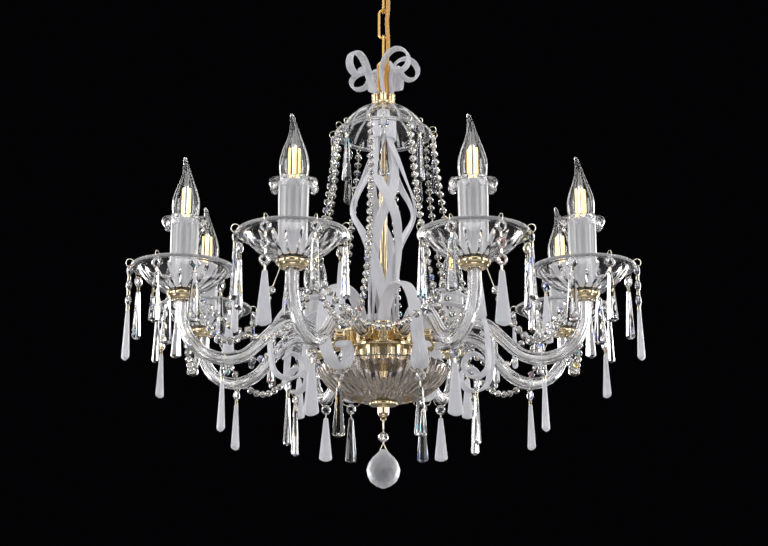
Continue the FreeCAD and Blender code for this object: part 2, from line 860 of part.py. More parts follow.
def scroll_cups():
    """Ring of brass cups that hold the feet of the frosted scrolls."""
    radius = size("scroll_cup_radius")
    bore = size("scroll_cup_bore")
    top = hub_top + size("scroll_cup_height")
    master = turned("scroll_cup_master", (
        (0, hub_top),
        (radius - 1.5, hub_top),
        (radius - 1.5, top - 5),
        (radius, top - 4),
        (radius, top),
        (bore, top),
        (bore, hub_top + 2),
        (0, hub_top + 2),
    ))
    ring = float(size("scroll_cup_ring"))
    cups = [moved(master.Shape, upright(angle, ring)) for angle in gap_angles]
    return feature("scroll_cups", Part.Compound(cups))


def arm_sockets():
    """A block on the plate for each arm, with the spigot that the glass slides over."""
    width = size("socket_width")
    axis_level = level("arm_level")
    edge = size("hub_radius")
    block = box("socket_block", (9, width, axis_level - hub_top + 7), (edge - 4, -width / 2, hub_top))
    spigot = doc.addObject("Part::Cylinder", "socket_spigot")
    bind(spigot, "Radius", size("spigot_radius"))
    spigot.Height = 14
    spigot.Placement = Placement(Vector(float(edge) + 4, 0, float(axis_level)), Rotation(Vector(0, 1, 0), 90))
    master = joined("socket_master", [block, spigot])
    doc.recompute()
    blocks = [moved(master.Shape, upright(angle)) for angle in arm_angles]
    return feature("arm_sockets", Part.Compound(blocks))


def arm_ferrules():
    """Brass rings over the joint between the hub and each glass arm."""
    radius = size("ferrule_radius")
    bore = size("arm_radius") + size("ferrule_gap")
    length = size("ferrule_length")
    master = turned("ferrule_master", (
        (bore, 0),
        (radius - 0.8, 0),
        (radius, 1),
        (radius, length - 1),
        (radius - 0.8, length),
        (bore, length),
    ))
    start = float(size("arm_start")) - 3
    lying = Placement(Vector(start, 0, float(level("arm_level"))), Rotation(Vector(0, 1, 0), 90))
    rings = [moved(master.Shape, upright(angle).multiply(lying)) for angle in arm_angles]
    return feature("arm_ferrules", Part.Compound(rings))


# ---------------------------------------------------------------- arms

cup_top = level("dish_base")
cup_foot = cup_top - size("cup_height")
arm_end = cup_foot + size("cup_socket")


def bend_edge(centre, radius, first, last):
    spots = []
    for angle in (first, (first + last) / 2, last):
        turn = math.radians(angle)
        spots.append(centre + Vector(radius * math.cos(turn), 0, radius * math.sin(turn)))
    return Part.Arc(*spots).toShape(), spots[0], spots[2]


def arm_curve():
    """The glass arm's centre line in its own upright plane, X outwards."""
    base = float(level("arm_level"))
    bend = float(size("arm_bend"))
    slope = float(size("arm_slope"))
    start = Vector(float(size("arm_start")), 0, base)
    leave = start + Vector(float(size("ferrule_length")) - 2, 0, 0)
    lift, lift_start, lift_end = bend_edge(leave + Vector(0, 0, bend), bend, -90, slope - 90)
    crest_x = float(size("arm_crest"))
    reach = crest_x - bend * math.sin(math.radians(slope)) - lift_end.x
    crest_z = lift_end.z + reach * math.tan(math.radians(slope)) - bend * math.cos(math.radians(slope))
    crest, crest_start, crest_end = bend_edge(Vector(crest_x, 0, crest_z), bend, 90 + slope, 45)
    sweep = float(size("arm_sweep"))
    low_x = float(size("arm_low"))
    half = sweep * math.sqrt(0.5)
    low_z = crest_end.z - (low_x - half - crest_end.x) + half
    low, low_start, low_end = bend_edge(Vector(low_x, 0, low_z), sweep, -135, 0)
    end = Vector(low_end.x, 0, float(arm_end))
    edges = [
        Part.LineSegment(start, leave).toShape(),
        lift,
        Part.LineSegment(lift_end, crest_start).toShape(),
        crest,
        Part.LineSegment(crest_end, low_start).toShape(),
        low,
        Part.LineSegment(low_end, end).toShape(),
    ]
    return Part.Wire(edges), low_z - sweep


def glass_arms():
    path, low_level = arm_curve()
    tube = swept(path, float(size("arm_radius"))).cut(swept(path, float(size("arm_bore"))))
    for number, angle in enumerate(arm_angles, start=1):
        keep(feature("arm_%d" % number, tube, Placement(Vector(), Rotation(UP, angle))))
    return low_level


# ---------------------------------------------------------------- lights

SWAG_TURN = 90.0 + STEP_ANGLE / 2
STRAND_TURN = 160.0
DROP_TURNS = (0.0, 48.0, -48.0, 88.0, -88.0, 150.0, -150.0)
CUP_EYE_DROP = 2.5
CUP_EYE_REACH = 1.4
CUP_EYE_RADIUS = 1.6


def at_lights(shape):
    """Copies of a shape made on the centre line, one on each arm's end and turned outwards."""
    ring = float(candle_ring)
    return Part.Compound([moved(shape, upright(angle, ring)) for angle in arm_angles])


def dish_cups():
    """Brass cups that carry the dishes, each with a nipple up into the lampholder."""
    radius = size("cup_radius")
    socket = size("arm_radius") + size("ferrule_gap")
    blank = turned("cup_blank", (
        (0, arm_end),
        (socket, arm_end),
        (socket, cup_foot),
        (socket + 2, cup_foot),
        (radius - 2, arm_end, -2),
        (radius, arm_end),
        (radius, cup_top),
        (4.4, cup_top),
        (4.4, cup_top + 7),
        (0, cup_top + 7),
    ))
    eyes = []
    for turn in (SWAG_TURN, -SWAG_TURN, STRAND_TURN):
        spot = polar(float(radius) + CUP_EYE_REACH, turn, float(cup_top) - CUP_EYE_DROP)
        eyes.append(wire_ring(CUP_EYE_RADIUS, float(size("pin_radius")), spot, UP))
    cup = blank.Shape.multiFuse(eyes).removeSplitter()
    return feature("dish_cups", at_lights(cup))


def dishes():
    radius = size("dish_radius")
    wall = size("dish_wall")
    rim = cup_top + size("dish_height")
    flange = size("dish_flange")
    seat = size("cup_radius")
    blank = turned("dish_blank", (
        (5, cup_top),
        (seat, cup_top),
        (radius - flange, rim - wall, -5),
        (radius, rim - wall),
        (radius, rim),
        (radius - flange - 1, rim),
        (seat, cup_top + wall, 5),
        (5, cup_top + wall),
    ))
    holes = rim_holes("dish_hole", float(radius) - HOLE_INSET, DROP_TURNS, rim - wall - 2, rim + 2)
    master = cut("dish_master", blank, holes)
    doc.recompute()
    return feature("dishes", at_lights(master.Shape))


sleeve_foot_level = cup_top + size("dish_wall")
sleeve_top = sleeve_foot_level + size("sleeve_height")


def candle_sleeves():
    top = size("sleeve_radius")
    foot = size("sleeve_foot")
    wall = size("sleeve_wall")
    master = turned("sleeve_master", (
        (foot - wall, sleeve_foot_level),
        (foot, sleeve_foot_level),
        (top, sleeve_top),
        (top - wall, sleeve_top),
    ))
    return feature("candle_sleeves", at_lights(master.Shape))


def drip_rings():
    """Thin clear petal rings that rest on the sleeves' top edges."""
    top = size("sleeve_radius")
    radius = size("drip_radius")
    master = turned("drip_master", (
        (top - 2.3, sleeve_top),
        (top + 1, sleeve_top),
        (radius, sleeve_top - 5, 1.5),
        (radius, sleeve_top - 3.6),
        (top + 1, sleeve_top + 1.4, -1.5),
        (top - 2.3, sleeve_top + 1.4),
    ))
    return feature("drip_rings", at_lights(master.Shape))


def lampholders():
    radius = size("holder_tube")
    bore = size("holder_bore")
    top = sleeve_foot_level + size("lampholder_height")
    master = turned("lampholder_master", (
        (4.5, sleeve_foot_level),
        (radius + 1, sleeve_foot_level),
        (radius + 1, sleeve_foot_level + 3),
        (radius, sleeve_foot_level + 3),
        (radius, top),
        (bore, top),
        (bore, sleeve_foot_level + 6),
        (4.5, sleeve_foot_level + 6),
    ))
    return feature("lampholders", at_lights(master.Shape))


def bulbs():
    """Clear flame-tip bulbs: a blown envelope in a screw cap."""
    tip = float(level("bulb_tip"))
    height = float(size("bulb_height"))
    neck = float(size("bulb_neck"))
    widest = float(size("bulb_radius"))
    wall = float(size("bulb_wall"))
    shoulders = ((0.0, neck), (0.08, neck + 0.6), (0.16, 0.86 * widest), (0.26, 0.97 * widest),
                 (0.33, widest), (0.42, 0.96 * widest), (0.56, 0.74 * widest), (0.7, 0.45 * widest),
                 (0.84, 0.26 * widest), (0.94, 0.16 * widest))
    foot = tip - height
    outer = [Vector(radius, 0, foot + height * share) for share, radius in shoulders]
    inner = [Vector(radius - wall, 0, foot + height * share) for share, radius in shoulders[:-1]]
    crown = Vector(0, 0, tip)
    outer_curve = Part.BSplineCurve()
    outer_curve.interpolate(outer + [crown])
    inner_crown = Vector(0, 0, tip - 5)
    inner_curve = Part.BSplineCurve()
    inner_curve.interpolate(inner + [inner_crown])
    edges = [
        outer_curve.toShape(),
        Part.LineSegment(crown, inner_crown).toShape(),
        inner_curve.toShape(),
        Part.LineSegment(inner[0], outer[0]).toShape(),
    ]
    outline = Part.Face(Part.Wire(Part.__sortEdges__(edges)))
    envelope = outline.revolve(Vector(0, 0, 0), UP, 360)
    cap_radius = size("cap_radius")
    cap_top = level("bulb_tip") - size("bulb_height") + 4
    cap_foot = cap_top - size("cap_height")
    cap = turned("cap_master", (
        (0, cap_foot),
        (2.5, cap_foot),
        (cap_radius - 2, cap_foot + 3),
        (cap_radius, cap_foot + 4),
        (cap_radius, cap_top),
        (cap_radius - 0.4, cap_top),
        (cap_radius - 0.4, cap_top - 6),
        (0, cap_top - 6),
    ))
    bulb = Part.Compound([envelope, cap.Shape])
    for number, angle in enumerate(arm_angles, start=1):
        keep(feature("bulb_%d" % number, bulb, upright(angle, float(candle_ring))))


# ---------------------------------------------------------------- bowl, bottom finial, ball

bowl_base = level("bowl_rim") - size("bowl_height")


def bottom_bowl():
    radius = size("bowl_radius")
    wall = size("bowl_wall")
    rim = level("bowl_rim")
    return turned("bottom_bowl", (
        (stem_hole, bowl_base),
        (22, bowl_base),
        (radius, rim, -12),
        (radius - wall, rim),
        (22, bowl_base + wall, 12),
        (stem_hole, bowl_base + wall),
    ))


FINIAL_EYE = 3.0
FINIAL_WIRE = 0.8


def eye_level():
    return float(bowl_base - size("nut_height")) - FINIAL_EYE + 0.3


def bottom_finial():
    """The disc that holds the bowl up, its neck and the eye for the ball."""
    foot = bowl_base - size("nut_height")
    radius = size("nut_radius")
    body = turned("finial_body", (
        (0, foot),
        (5, foot),
        (7.5, foot + 4),
        (7.5, bowl_base - 6),
        (radius, bowl_base - 5),
        (radius, bowl_base),
        (stem_hole, bowl_base),
        (stem_hole, bowl_base - 10.4),
        (0, bowl_base - 10.4),
    ))
    eye = wire_ring(FINIAL_EYE, FINIAL_WIRE, Vector(0, 0, eye_level()), Vector(0, 1, 0))
    return feature("bottom_finial", body.Shape.fuse(eye).removeSplitter())


BALL_SIDES = 12


BALL_ROWS = ((1.3, 0.2), (1.12, 0.34), (0.84, 0.64), (0.5, 0.89), (0.1, 1.0), (-0.3, 0.95), (-0.62, 0.76),
             (-0.86, 0.44), (-1.0, 0.08))


def ball_solid(radius, middle):
    """A cut drop: rows of height over and width against the ball's radius."""
    sections = []
    for height, width in BALL_ROWS:
        ring = radius * width
        sections.append([polar(ring, 360.0 / BALL_SIDES * side, middle + radius * height)
                         for side in range(BALL_SIDES)])
    return faceted(sections)


def octagon(middle, radius, thick, hole_spots):
    """A bevelled octagon bead that faces along X."""
    sections = []
    for offset, share in ((-0.5, 0.58), (-0.14, 1.0), (0.14, 1.0), (0.5, 0.58)):
        ring = []
        for side in range(8):
            turn = math.radians(45.0 * side + 22.5)
            reach = radius * share / math.cos(math.radians(22.5))
            ring.append(middle + Vector(thick * offset, reach * math.cos(turn), reach * math.sin(turn)))
        sections.append(ring)
    bead = faceted(sections)
    for spot in hole_spots:
        bead = bead.cut(rod(spot - Vector(thick, 0, 0), spot + Vector(thick, 0, 0), 0.9))
    return bead


def ball_drop():
    """The ball on its wire, hung in the bottom finial's eye."""
    wire = FINIAL_WIRE
    top = eye_level() - FINIAL_EYE + wire + 2 * wire + 0.25
    middle = float(level("ball_middle"))
    radius = float(size("ball_radius"))
    link = oval_link(16.0, 7.0, 2 * wire)
    link.rotate(Vector(), UP, 90)
    link.translate(Vector(0, 0, top))
    low = top - 16.0
    crown_foot = middle + radius * BALL_ROWS[0][0]
    pin = rod(Vector(0, 0, low + wire), Vector(0, 0, crown_foot + 1), wire)
    hanger = link.fuse(pin).removeSplitter()
    bead_radius = float(size("octagon_radius"))
    bead = octagon(Vector(0, 0, low - 0.5 - bead_radius), bead_radius, float(size("octagon_thick")), ())
    bead = bead.cut(rod(Vector(0, 0, low + 2), Vector(0, 0, low - 20), wire + 0.15))
    bore = rod(Vector(0, 0, crown_foot - 4), Vector(0, 0, crown_foot + 4), wire + 0.15)
    ball = ball_solid(radius, middle).cut(bore)
    return feature("ball_drop", Part.Compound([hanger, bead, ball]))


# ---------------------------------------------------------------- frosted scrolls

def scroll_line():
    """Centre line of a scroll beside its arm: X outwards, Y across the arm, Z up."""
    cup = polar(float(size("scroll_cup_ring")), -STEP_ANGLE / 2)
    foot = float(hub_top) + 3.0
    crest = float(size("arm_crest"))
    clear = -(float(size("arm_radius")) + float(size("scroll_width")) / 2 + 2.0)
    loop = Vector(crest + 6, 0, float(level("bowl_rim")) - 4)
    return [
        Vector(cup.x, cup.y, foot),
        Vector(cup.x, cup.y, foot + 12),
        Vector(cup.x + 0.3, cup.y, foot + 24),
        Vector(cup.x + 9, cup.y - 0.6, foot + 42),
        Vector(cup.x + 27, cup.y - 1.6, foot + 56),
        Vector(crest - 31, clear, foot + 60),
        Vector(crest - 10, clear, foot + 55),
        Vector(crest + 10, clear, foot + 40),
        Vector(crest + 23, clear, foot + 18),
        Vector(crest + 27.5, clear, foot - 4),
        Vector(loop.x + 20.5, clear + 4, loop.z + 6),
        Vector(loop.x + 17.5, clear + 9, loop.z - 9.5),
        Vector(loop.x + 4, clear + 13, loop.z - 18.2),
        Vector(loop.x - 11, clear + 16, loop.z - 14),
        Vector(loop.x - 16.5, clear + 17.5, loop.z - 1),
        Vector(loop.x - 10, clear + 18, loop.z + 10.5),
        Vector(loop.x + 1.5, clear + 18, loop.z + 12.5),
        Vector(loop.x + 9, clear + 18, loop.z + 5),
    ]


def scroll_low_point():
    """The underside of a scroll's loop, where its drop hangs."""
    line = smooth_points(scroll_line(), 200)
    low = min(line, key=lambda spot: spot.z)
    return low - UP * (float(size("scroll_thick")) / 2)


def frosted_scrolls():
    width = float(size("scroll_width"))
    line = smooth_points(scroll_line(), 44)
    band = ribbon(line, [Vector(0, 1, 0)] * len(line), [width] * len(line), float(size("scroll_thick")))
    return feature("frosted_scrolls", Part.Compound([moved(band, upright(angle)) for angle in arm_angles]))


# ---------------------------------------------------------------- garlands

def strung(line, lead_in, lead_out):
    """Beads strung on short wires along a line, with wire ends past the first and last bead."""
    pearl = float(size("pearl_radius"))
    pin = float(size("pin_radius"))
    spots = even_points(line, float(size("pearl_pitch")))
    stops = [lead_in] + spots + [lead_out]
    pieces = []
    for before, spot, after in zip(stops, spots, stops[2:]):
        tangent = (after - before).normalize()
        sphere = Part.makeSphere(pearl)
        sphere.Placement = Placement(spot, Rotation(Vector(), tangent, tangent.cross(UP), "YZX"))
        pieces.append(sphere)
    for number, (before, after) in enumerate(zip(stops, stops[1:])):
        inset = (after - before).normalize() * pearl * 0.6
        first = before if number == 0 else before + inset
        last = after if number == len(spots) else after - inset
        pieces.append(rod(first, last, pin))
    return pieces[0].multiFuse(pieces[1:])


def swag_strands():
    """Garlands from each light's cup to the next."""
    ring = float(candle_ring)
    chord = 2 * ring * math.sin(math.radians(STEP_ANGLE / 2))
    start = float(size("cup_radius")) + CUP_EYE_REACH
    top = float(cup_top) - CUP_EYE_DROP
    sag = 74.0
    half = chord / 2 - start
    def spot(share):
        along = half * (2 * share - 1)
        return Vector(0, along, top - sag * (1 - (along / half) ** 2))
    inset = 0.075
    line = [spot(inset + (1 - 2 * inset) * number / 300) for number in range(301)]
    strand = strung(line, spot(0.0), spot(1.0))
    middle = ring * math.cos(math.radians(STEP_ANGLE / 2))
    strands = [moved(strand, upright(angle + STEP_ANGLE / 2, middle)) for angle in arm_angles]
    return feature("swag_strands", Part.Compound(strands))


def bezier(controls, share):
    rest = 1 - share
    weights = (rest ** 3, 3 * rest ** 2 * share, 3 * rest * share ** 2, share ** 3)
    total = Vector()
    for control, weight in zip(controls, weights):
        total = total + control * weight
    return total


def rim_ring_middle(rim_radius, rim_middle):
    """Centre of a hanging ring that passes a rim's hole and goes round its edge."""
    return Vector(rim_radius - HOLE_INSET - 0.2 + float(size("ring_radius")), 0, rim_middle)


def dome_strands():
    """Garlands from the dome's rim, down past the hub and up to each light's cup."""
    dome_ring = rim_ring_middle(float(size("dome_radius")), float(dome_top - size("dome_drop") + size("dome_wall") / 2))
    turn = Rotation(UP, STRAND_LEAD)
    ring_spot = turn.multVec(dome_ring)
    start = ring_spot - UP * float(size("ring_radius"))
    cup_middle = Vector(float(candle_ring), 0, float(cup_top) - CUP_EYE_DROP)
    out = polar(1, STRAND_TURN)
    end = cup_middle + out * (float(size("cup_radius")) + CUP_EYE_REACH)
    last = cup_middle + out * (float(size("cup_radius")) + 7) - UP * 7
    controls = (start - UP * 6, Vector(95, 26, -600), Vector(172, 29, -612), last)
    line = [bezier(controls, number / 400) for number in range(401)]
    strand = strung(line, start, end)
    ring = wire_ring(float(size("ring_radius")), float(size("pin_radius")), ring_spot, turn.multVec(Vector(0, 1, 0)))
    strand = strand.fuse(ring)
    return feature("dome_strands", Part.Compound([moved(strand, upright(angle)) for angle in arm_angles]))


# ---------------------------------------------------------------- hanging drops

HOLE_DROP = 2.4
LINK_WIDTH = 6.0
HOLE_LIFT = 0.4
ARM_RING_PLAY = 2.2
ARM_RING_SAG = 1.7
BAND_LOOP_PLAY = 4.5
BAND_LOOP_HEIGHT = 10.0
BAND_LOOP_SAG = 1.9


def prism(top, foot_width):
    """A long bevelled prism that hangs from a hole near its top."""
    length = float(size("prism_length"))
    thick = float(size("prism_thick"))
    rows = ((0.0, 5.4, 2.4), (0.03, 6.6, 4.0), (0.93, foot_width, thick), (0.965, foot_width * 0.9, thick * 0.8),
            (1.0, foot_width * 0.3, thick * 0.3))
    sections = []
    for share, width, depth in rows:
        height = top.z + HOLE_DROP - length * share
        half = Vector(0, width / 2, 0)
        flank = Vector(0, width * 0.24, 0)
        face = Vector(depth / 2, 0, 0)
        base = Vector(top.x, top.y, height)
        sections.append([base + half, base + flank + face, base - flank + face,
                         base - half, base - flank - face, base + flank - face])
    solid = faceted(sections)
    hole = top + UP * HOLE_LIFT
    return solid.cut(rod(hole - Vector(6, 0, 0), hole + Vector(6, 0, 0), 1.05))


def bead_chain(hang, count):
    """Octagon beads one under the other from a hanging point, and the point of the last link."""
    radius = float(size("octagon_radius"))
    thick = float(size("octagon_thick"))
    pitch = float(size("octagon_pitch"))
    pin = float(size("pin_radius"))
    beads = []
    spot = hang
    for number in range(count):
        middle = spot - UP * (radius - HOLE_DROP)
        low = middle - UP * (radius - HOLE_DROP)
        reach = pitch - 2 * (radius - HOLE_DROP)
        link = oval_link(reach + 2 * pin, LINK_WIDTH, 2 * pin)
        link.translate(low + UP * pin)
        beads.append(octagon(middle, radius, thick, ()).fuse(link))
        spot = low - UP * reach
    return beads, spot


def drop_from(hang, count, foot_width):
    """Ring, beads and prism of one drop. The ring's centre is a ring radius above the hang."""
    ring = wire_ring(float(size("ring_radius")), float(size("pin_radius")),
                     hang + UP * float(size("ring_radius")), Vector(0, 1, 0))
    beads, spot = bead_chain(hang, count)
    beads[0] = beads[0].fuse(ring)
    chain = beads[0]
    if len(beads) > 1:
        chain = beads[0].multiFuse(beads[1:])
    return chain, prism(spot, foot_width)


def rim_hang(radius, middle_level):
    return rim_ring_middle(radius, middle_level) - UP * float(size("ring_radius"))


def hanging_drops(arm_low_level):
    """All drops that stay with the frame: under dishes, dome, arms and scrolls."""
    clear_foot = float(size("prism_foot"))
    frosted_foot = float(size("frosted_foot"))
    dish_middle = float(cup_top + size("dish_height") - size("dish_wall") / 2)
    dome_middle = float(dome_top - size("dome_drop") + size("dome_wall") / 2)
    dish_hang = rim_hang(float(size("dish_radius")), dish_middle)
    dome_hang = rim_hang(float(size("dome_radius")), dome_middle)
    arm_ring = float(size("arm_radius")) + ARM_RING_PLAY
    low_spot = Vector(float(size("arm_low")), 0, arm_low_level)
    arm_hang = low_spot - UP * (arm_ring + ARM_RING_SAG)
    scroll_low = scroll_low_point()
    dish_clear = drop_from(dish_hang, 1, clear_foot)
    dish_frosted = drop_from(dish_hang, 1, frosted_foot)
    dome_clear = drop_from(dome_hang, 1, clear_foot)
    arm_beads, arm_spot = bead_chain(arm_hang, 1)
    arm_loop = wire_ring(arm_ring, float(size("pin_radius")), low_spot - UP * ARM_RING_SAG, Vector(1, 0, 0))
    arm_drop = (arm_beads[0].fuse(arm_loop), prism(arm_spot, frosted_foot))
    band_span = float(size("scroll_width")) + 2 * BAND_LOOP_PLAY
    band_loop = oval_link(band_span, BAND_LOOP_HEIGHT, 2 * float(size("pin_radius")))
    band_loop.translate(Vector(0, 0, band_span / 2))
    band_loop.rotate(Vector(), Vector(0, 1, 0), 90)
    band_loop.rotate(Vector(), UP, 90)
    band_middle = scroll_low + UP * (float(size("scroll_thick")) / 2 - BAND_LOOP_SAG)
    band_loop.translate(band_middle)
    scroll_hang = band_middle - UP * (BAND_LOOP_HEIGHT / 2 - float(size("pin_radius")))
    scroll_beads, scroll_spot = bead_chain(scroll_hang, 1)
    scroll_drop = (scroll_beads[0].fuse(band_loop), prism(scroll_spot, clear_foot))
    beads = []
    clear = []
    frosted = []
    for angle in arm_angles:
        light = upright(angle, float(candle_ring))
        for turn in DROP_TURNS[1:]:
            place = light.multiply(Placement(Vector(), Rotation(UP, turn)))
            is_frosted = turn in FROSTED_TURNS
            chain, glass = dish_frosted if is_frosted else dish_clear
            beads.append(moved(chain, place))
            (frosted if is_frosted else clear).append(moved(glass, place))
        beads.append(moved(arm_drop[0], upright(angle)))
        frosted.append(moved(arm_drop[1], upright(angle)))
        beads.append(moved(scroll_drop[0], upright(angle)))
        clear.append(moved(scroll_drop[1], upright(angle)))
    for angle in dome_prism_angles():
        beads.append(moved(dome_clear[0], upright(angle)))
        clear.append(moved(dome_clear[1], upright(angle)))
    keep(feature("drop_beads", Part.Compound(beads)))
    keep(feature("clear_prisms", Part.Compound(clear)))
    keep(feature("frosted_prisms", Part.Compound(frosted)))
    outer_chain, outer_glass = drop_from(dish_hang, 3, frosted_foot)
    outer = Part.Compound([outer_chain, outer_glass])
    for number, angle in enumerate(arm_angles, start=1):
        keep(feature("outer_drop_%d" % number, outer, upright(angle, float(candle_ring))))
    print("outer drop hinge: radius %.3f level %.3f" % (
        float(candle_ring) + dish_hang.x, dish_hang.z + float(size("ring_radius"))))


FROSTED_TURNS = (150.0,)


# ---------------------------------------------------------------- assembly

def make_all():
    keep(ceiling_plate())
    keep(ceiling_hook())
    keep(ceiling_canopy())
    keep(canopy_screws())
    keep(terminal_block())
    chain_links()
    keep(supply_cable())
    keep(finial_collar())
    keep(finial_curls())
    keep(top_dome())
    keep(ribbon_holder())
    keep(center_stem())
    keep(column_bands("column_ribbons_outer", False, BAND_TWIST, 20.0))
    keep(column_bands("column_ribbons_inner", True, -BAND_TWIST, 0.0))
    keep(hub_plate())
    keep(hub_drum())
    keep(scroll_cups())
    keep(arm_sockets())
    keep(arm_ferrules())
    low_level = glass_arms()
    keep(dish_cups())
    keep(dishes())
    keep(candle_sleeves())
    keep(drip_rings())
    keep(lampholders())
    bulbs()
    keep(bottom_bowl())
    keep(bottom_finial())
    keep(ball_drop())
    keep(frosted_scrolls())
    keep(swag_strands())
    keep(dome_strands())
    hanging_drops(low_level)
    doc.recompute()


def check_all():
    for item in doc.Objects:
        if "Invalid" in item.State or "Error" in item.State:
            raise RuntimeError("%s did not build: %s" % (item.Label, item.State))
    for piece in finished:
        if piece.Shape.isNull() or not piece.Shape.isValid():
            raise RuntimeError("%s has no sound shape" % piece.Label)


def write_all():
    os.makedirs("parts", exist_ok=True)
    for piece in finished:
        piece.Shape.exportStep("parts/%s.step" % piece.Label)
    print("wrote %d nodes" % len(finished))


make_all()
check_all()
write_all()
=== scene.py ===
"""Finished look of the eight-arm crystal chandelier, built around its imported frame."""
import math
import random

import bmesh
import bpy
import numpy as np
from bpy.props import FloatProperty, FloatVectorProperty, IntProperty, PointerProperty
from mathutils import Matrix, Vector


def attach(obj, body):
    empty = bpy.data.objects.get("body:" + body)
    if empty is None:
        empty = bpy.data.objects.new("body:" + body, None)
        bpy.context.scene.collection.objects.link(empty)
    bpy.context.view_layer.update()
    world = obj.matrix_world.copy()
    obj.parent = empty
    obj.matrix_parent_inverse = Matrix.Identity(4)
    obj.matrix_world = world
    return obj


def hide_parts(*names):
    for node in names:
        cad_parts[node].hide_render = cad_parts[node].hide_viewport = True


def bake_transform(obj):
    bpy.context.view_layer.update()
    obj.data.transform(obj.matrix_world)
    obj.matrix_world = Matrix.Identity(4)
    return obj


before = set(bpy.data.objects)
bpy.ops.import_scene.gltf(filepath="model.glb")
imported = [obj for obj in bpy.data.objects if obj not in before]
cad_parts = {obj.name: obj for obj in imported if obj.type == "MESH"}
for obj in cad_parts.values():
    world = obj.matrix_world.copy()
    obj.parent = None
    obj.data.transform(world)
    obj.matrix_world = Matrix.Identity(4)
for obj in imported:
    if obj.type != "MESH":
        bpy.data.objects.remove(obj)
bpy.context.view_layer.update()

bl_info = {
    "name": "Crystal Chandelier",
    "version": (1, 0, 0),
    "blender": (4, 5, 0),
    "location": "View3D > Sidebar > Chandelier",
    "description": "Builds the glass, brass and candles of an eight-arm crystal chandelier",
    "category": "Object",
}

# Lengths are millimetres, heights are measured down from the ceiling plane, the front faces -Y.
MM = 0.001
ARM_ANGLES = [-67.5 + 45.0 * number for number in range(8)]
HALF_GAP = 22.5
GAP_ANGLES = [angle - HALF_GAP for angle in ARM_ANGLES]
CANDLE_RING = 269.3
STEM_HOLE = 5.1
CANOPY_FOOT = -42.0
COLLAR_TOP = -214.0
DOME_TOP = -229.0
BULB_TIP = -340.0
SLEEVE_TOP = -425.5
HOLDER_TOP = -438.0
SLEEVE_FOOT = -515.0
CUP_TOP = -519.0
ARM_END = -524.0
CUP_FOOT = -529.0
HUB_TOP = -566.0
HUB_FOOT = -571.0
BOWL_RIM = -593.0
BOWL_BASE = -637.6
NUT_FOOT = -656.6
BALL_MIDDLE = -727.0
UP = np.array((0.0, 0.0, 1.0))
ACROSS = np.array((0.0, 1.0, 0.0))


# ---------------------------------------------------------------- forms

class Form:
    """Corner points, faces and the finish number of each face, in millimetres."""

    def __init__(self):
        self.points = []
        self.faces = []
        self.finishes = []
        self.count = 0

    def add(self, points, faces):
        self.points.append(np.asarray(points, float).reshape(-1, 3))
        self.faces.extend(tuple(corner + self.count for corner in face) for face in faces)
        self.finishes.extend([0] * len(faces))
        self.count += len(self.points[-1])
        return self

    def take(self, other, place=None):
        points = other.corners()
        if place is not None:
            points = points @ place[:3, :3].T + place[:3, 3]
        self.points.append(points)
        self.faces.extend(tuple(corner + self.count for corner in face) for face in other.faces)
        self.finishes.extend(other.finishes)
        self.count += len(points)
        return self

    def corners(self):
        return np.concatenate(self.points) if self.points else np.zeros((0, 3))

    def copies(self, places):
        made = Form()
        for place in places:
            made.take(self, place)
        return made


def turn_about(axis, degrees):
    """A 4 x 4 turn about a unit axis through the origin."""
    x, y, z = np.asarray(axis, float) / np.linalg.norm(axis)
    turn = math.radians(degrees)
    c, s, t = math.cos(turn), math.sin(turn), 1 - math.cos(turn)
    place = np.eye(4)
    place[:3, :3] = ((t * x * x + c, t * x * y - s * z, t * x * z + s * y),
                     (t * x * y + s * z, t * y * y + c, t * y * z - s * x),
                     (t * x * z - s * y, t * y * z + s * x, t * z * z + c))
    return place


def shift(x=0.0, y=0.0, z=0.0):
    place = np.eye(4)
    place[:3, 3] = (x, y, z)
    return place


def stand(angle, radius=0.0, height=0.0):
    """A place at an angle round the centre line, turned to face outwards."""
    return turn_about(UP, angle) @ shift(radius, 0, height)


ARMS = [stand(angle) for angle in ARM_ANGLES]
LIGHTS = [stand(angle, CANDLE_RING) for angle in ARM_ANGLES]
GAPS = [stand(angle) for angle in GAP_ANGLES]


def polar(radius, angle, height=0.0):
    turn = math.radians(angle)
    return np.array((radius * math.cos(turn), radius * math.sin(turn), height))


def grid_faces(rows, columns, wrap_rows=False):
    """Four-sided faces between closed rings of equal counts."""
    faces = []
    for row in range(rows if wrap_rows else rows - 1):
        low, high = row * columns, (row + 1) % rows * columns
        for column in range(columns):
            following = (column + 1) % columns
            faces.append((low + column, low + following, high + following, high + column))
    return faces


def end_faces(rows, sides):
    """The first and the last face of a stack of rings."""
    last = (rows - 1) * sides
    return [tuple(range(sides))[::-1], tuple(range(last, last + sides))]


def arc_points(start, end, rise, count):
    """Points between two corners on an arc that bulges to the left of travel by rise."""
    start, end = np.asarray(start, float), np.asarray(end, float)
    along = end - start
    chord = np.linalg.norm(along)
    left = np.array((-along[1], along[0])) / chord
    radius = (chord * chord / 4 + rise * rise) / (2 * abs(rise))
    sign = 1.0 if rise > 0 else -1.0
    centre = (start + end) / 2 + left * (rise - sign * radius)
    first = math.atan2(*(start - centre)[::-1])
    last = math.atan2(*(end - centre)[::-1])
    sweep = (last - first + math.pi) % (2 * math.pi) - math.pi
    turns = first + sweep * np.arange(1, count + 1) / count
    return [centre + radius * np.array((math.cos(t), math.sin(t))) for t in turns]


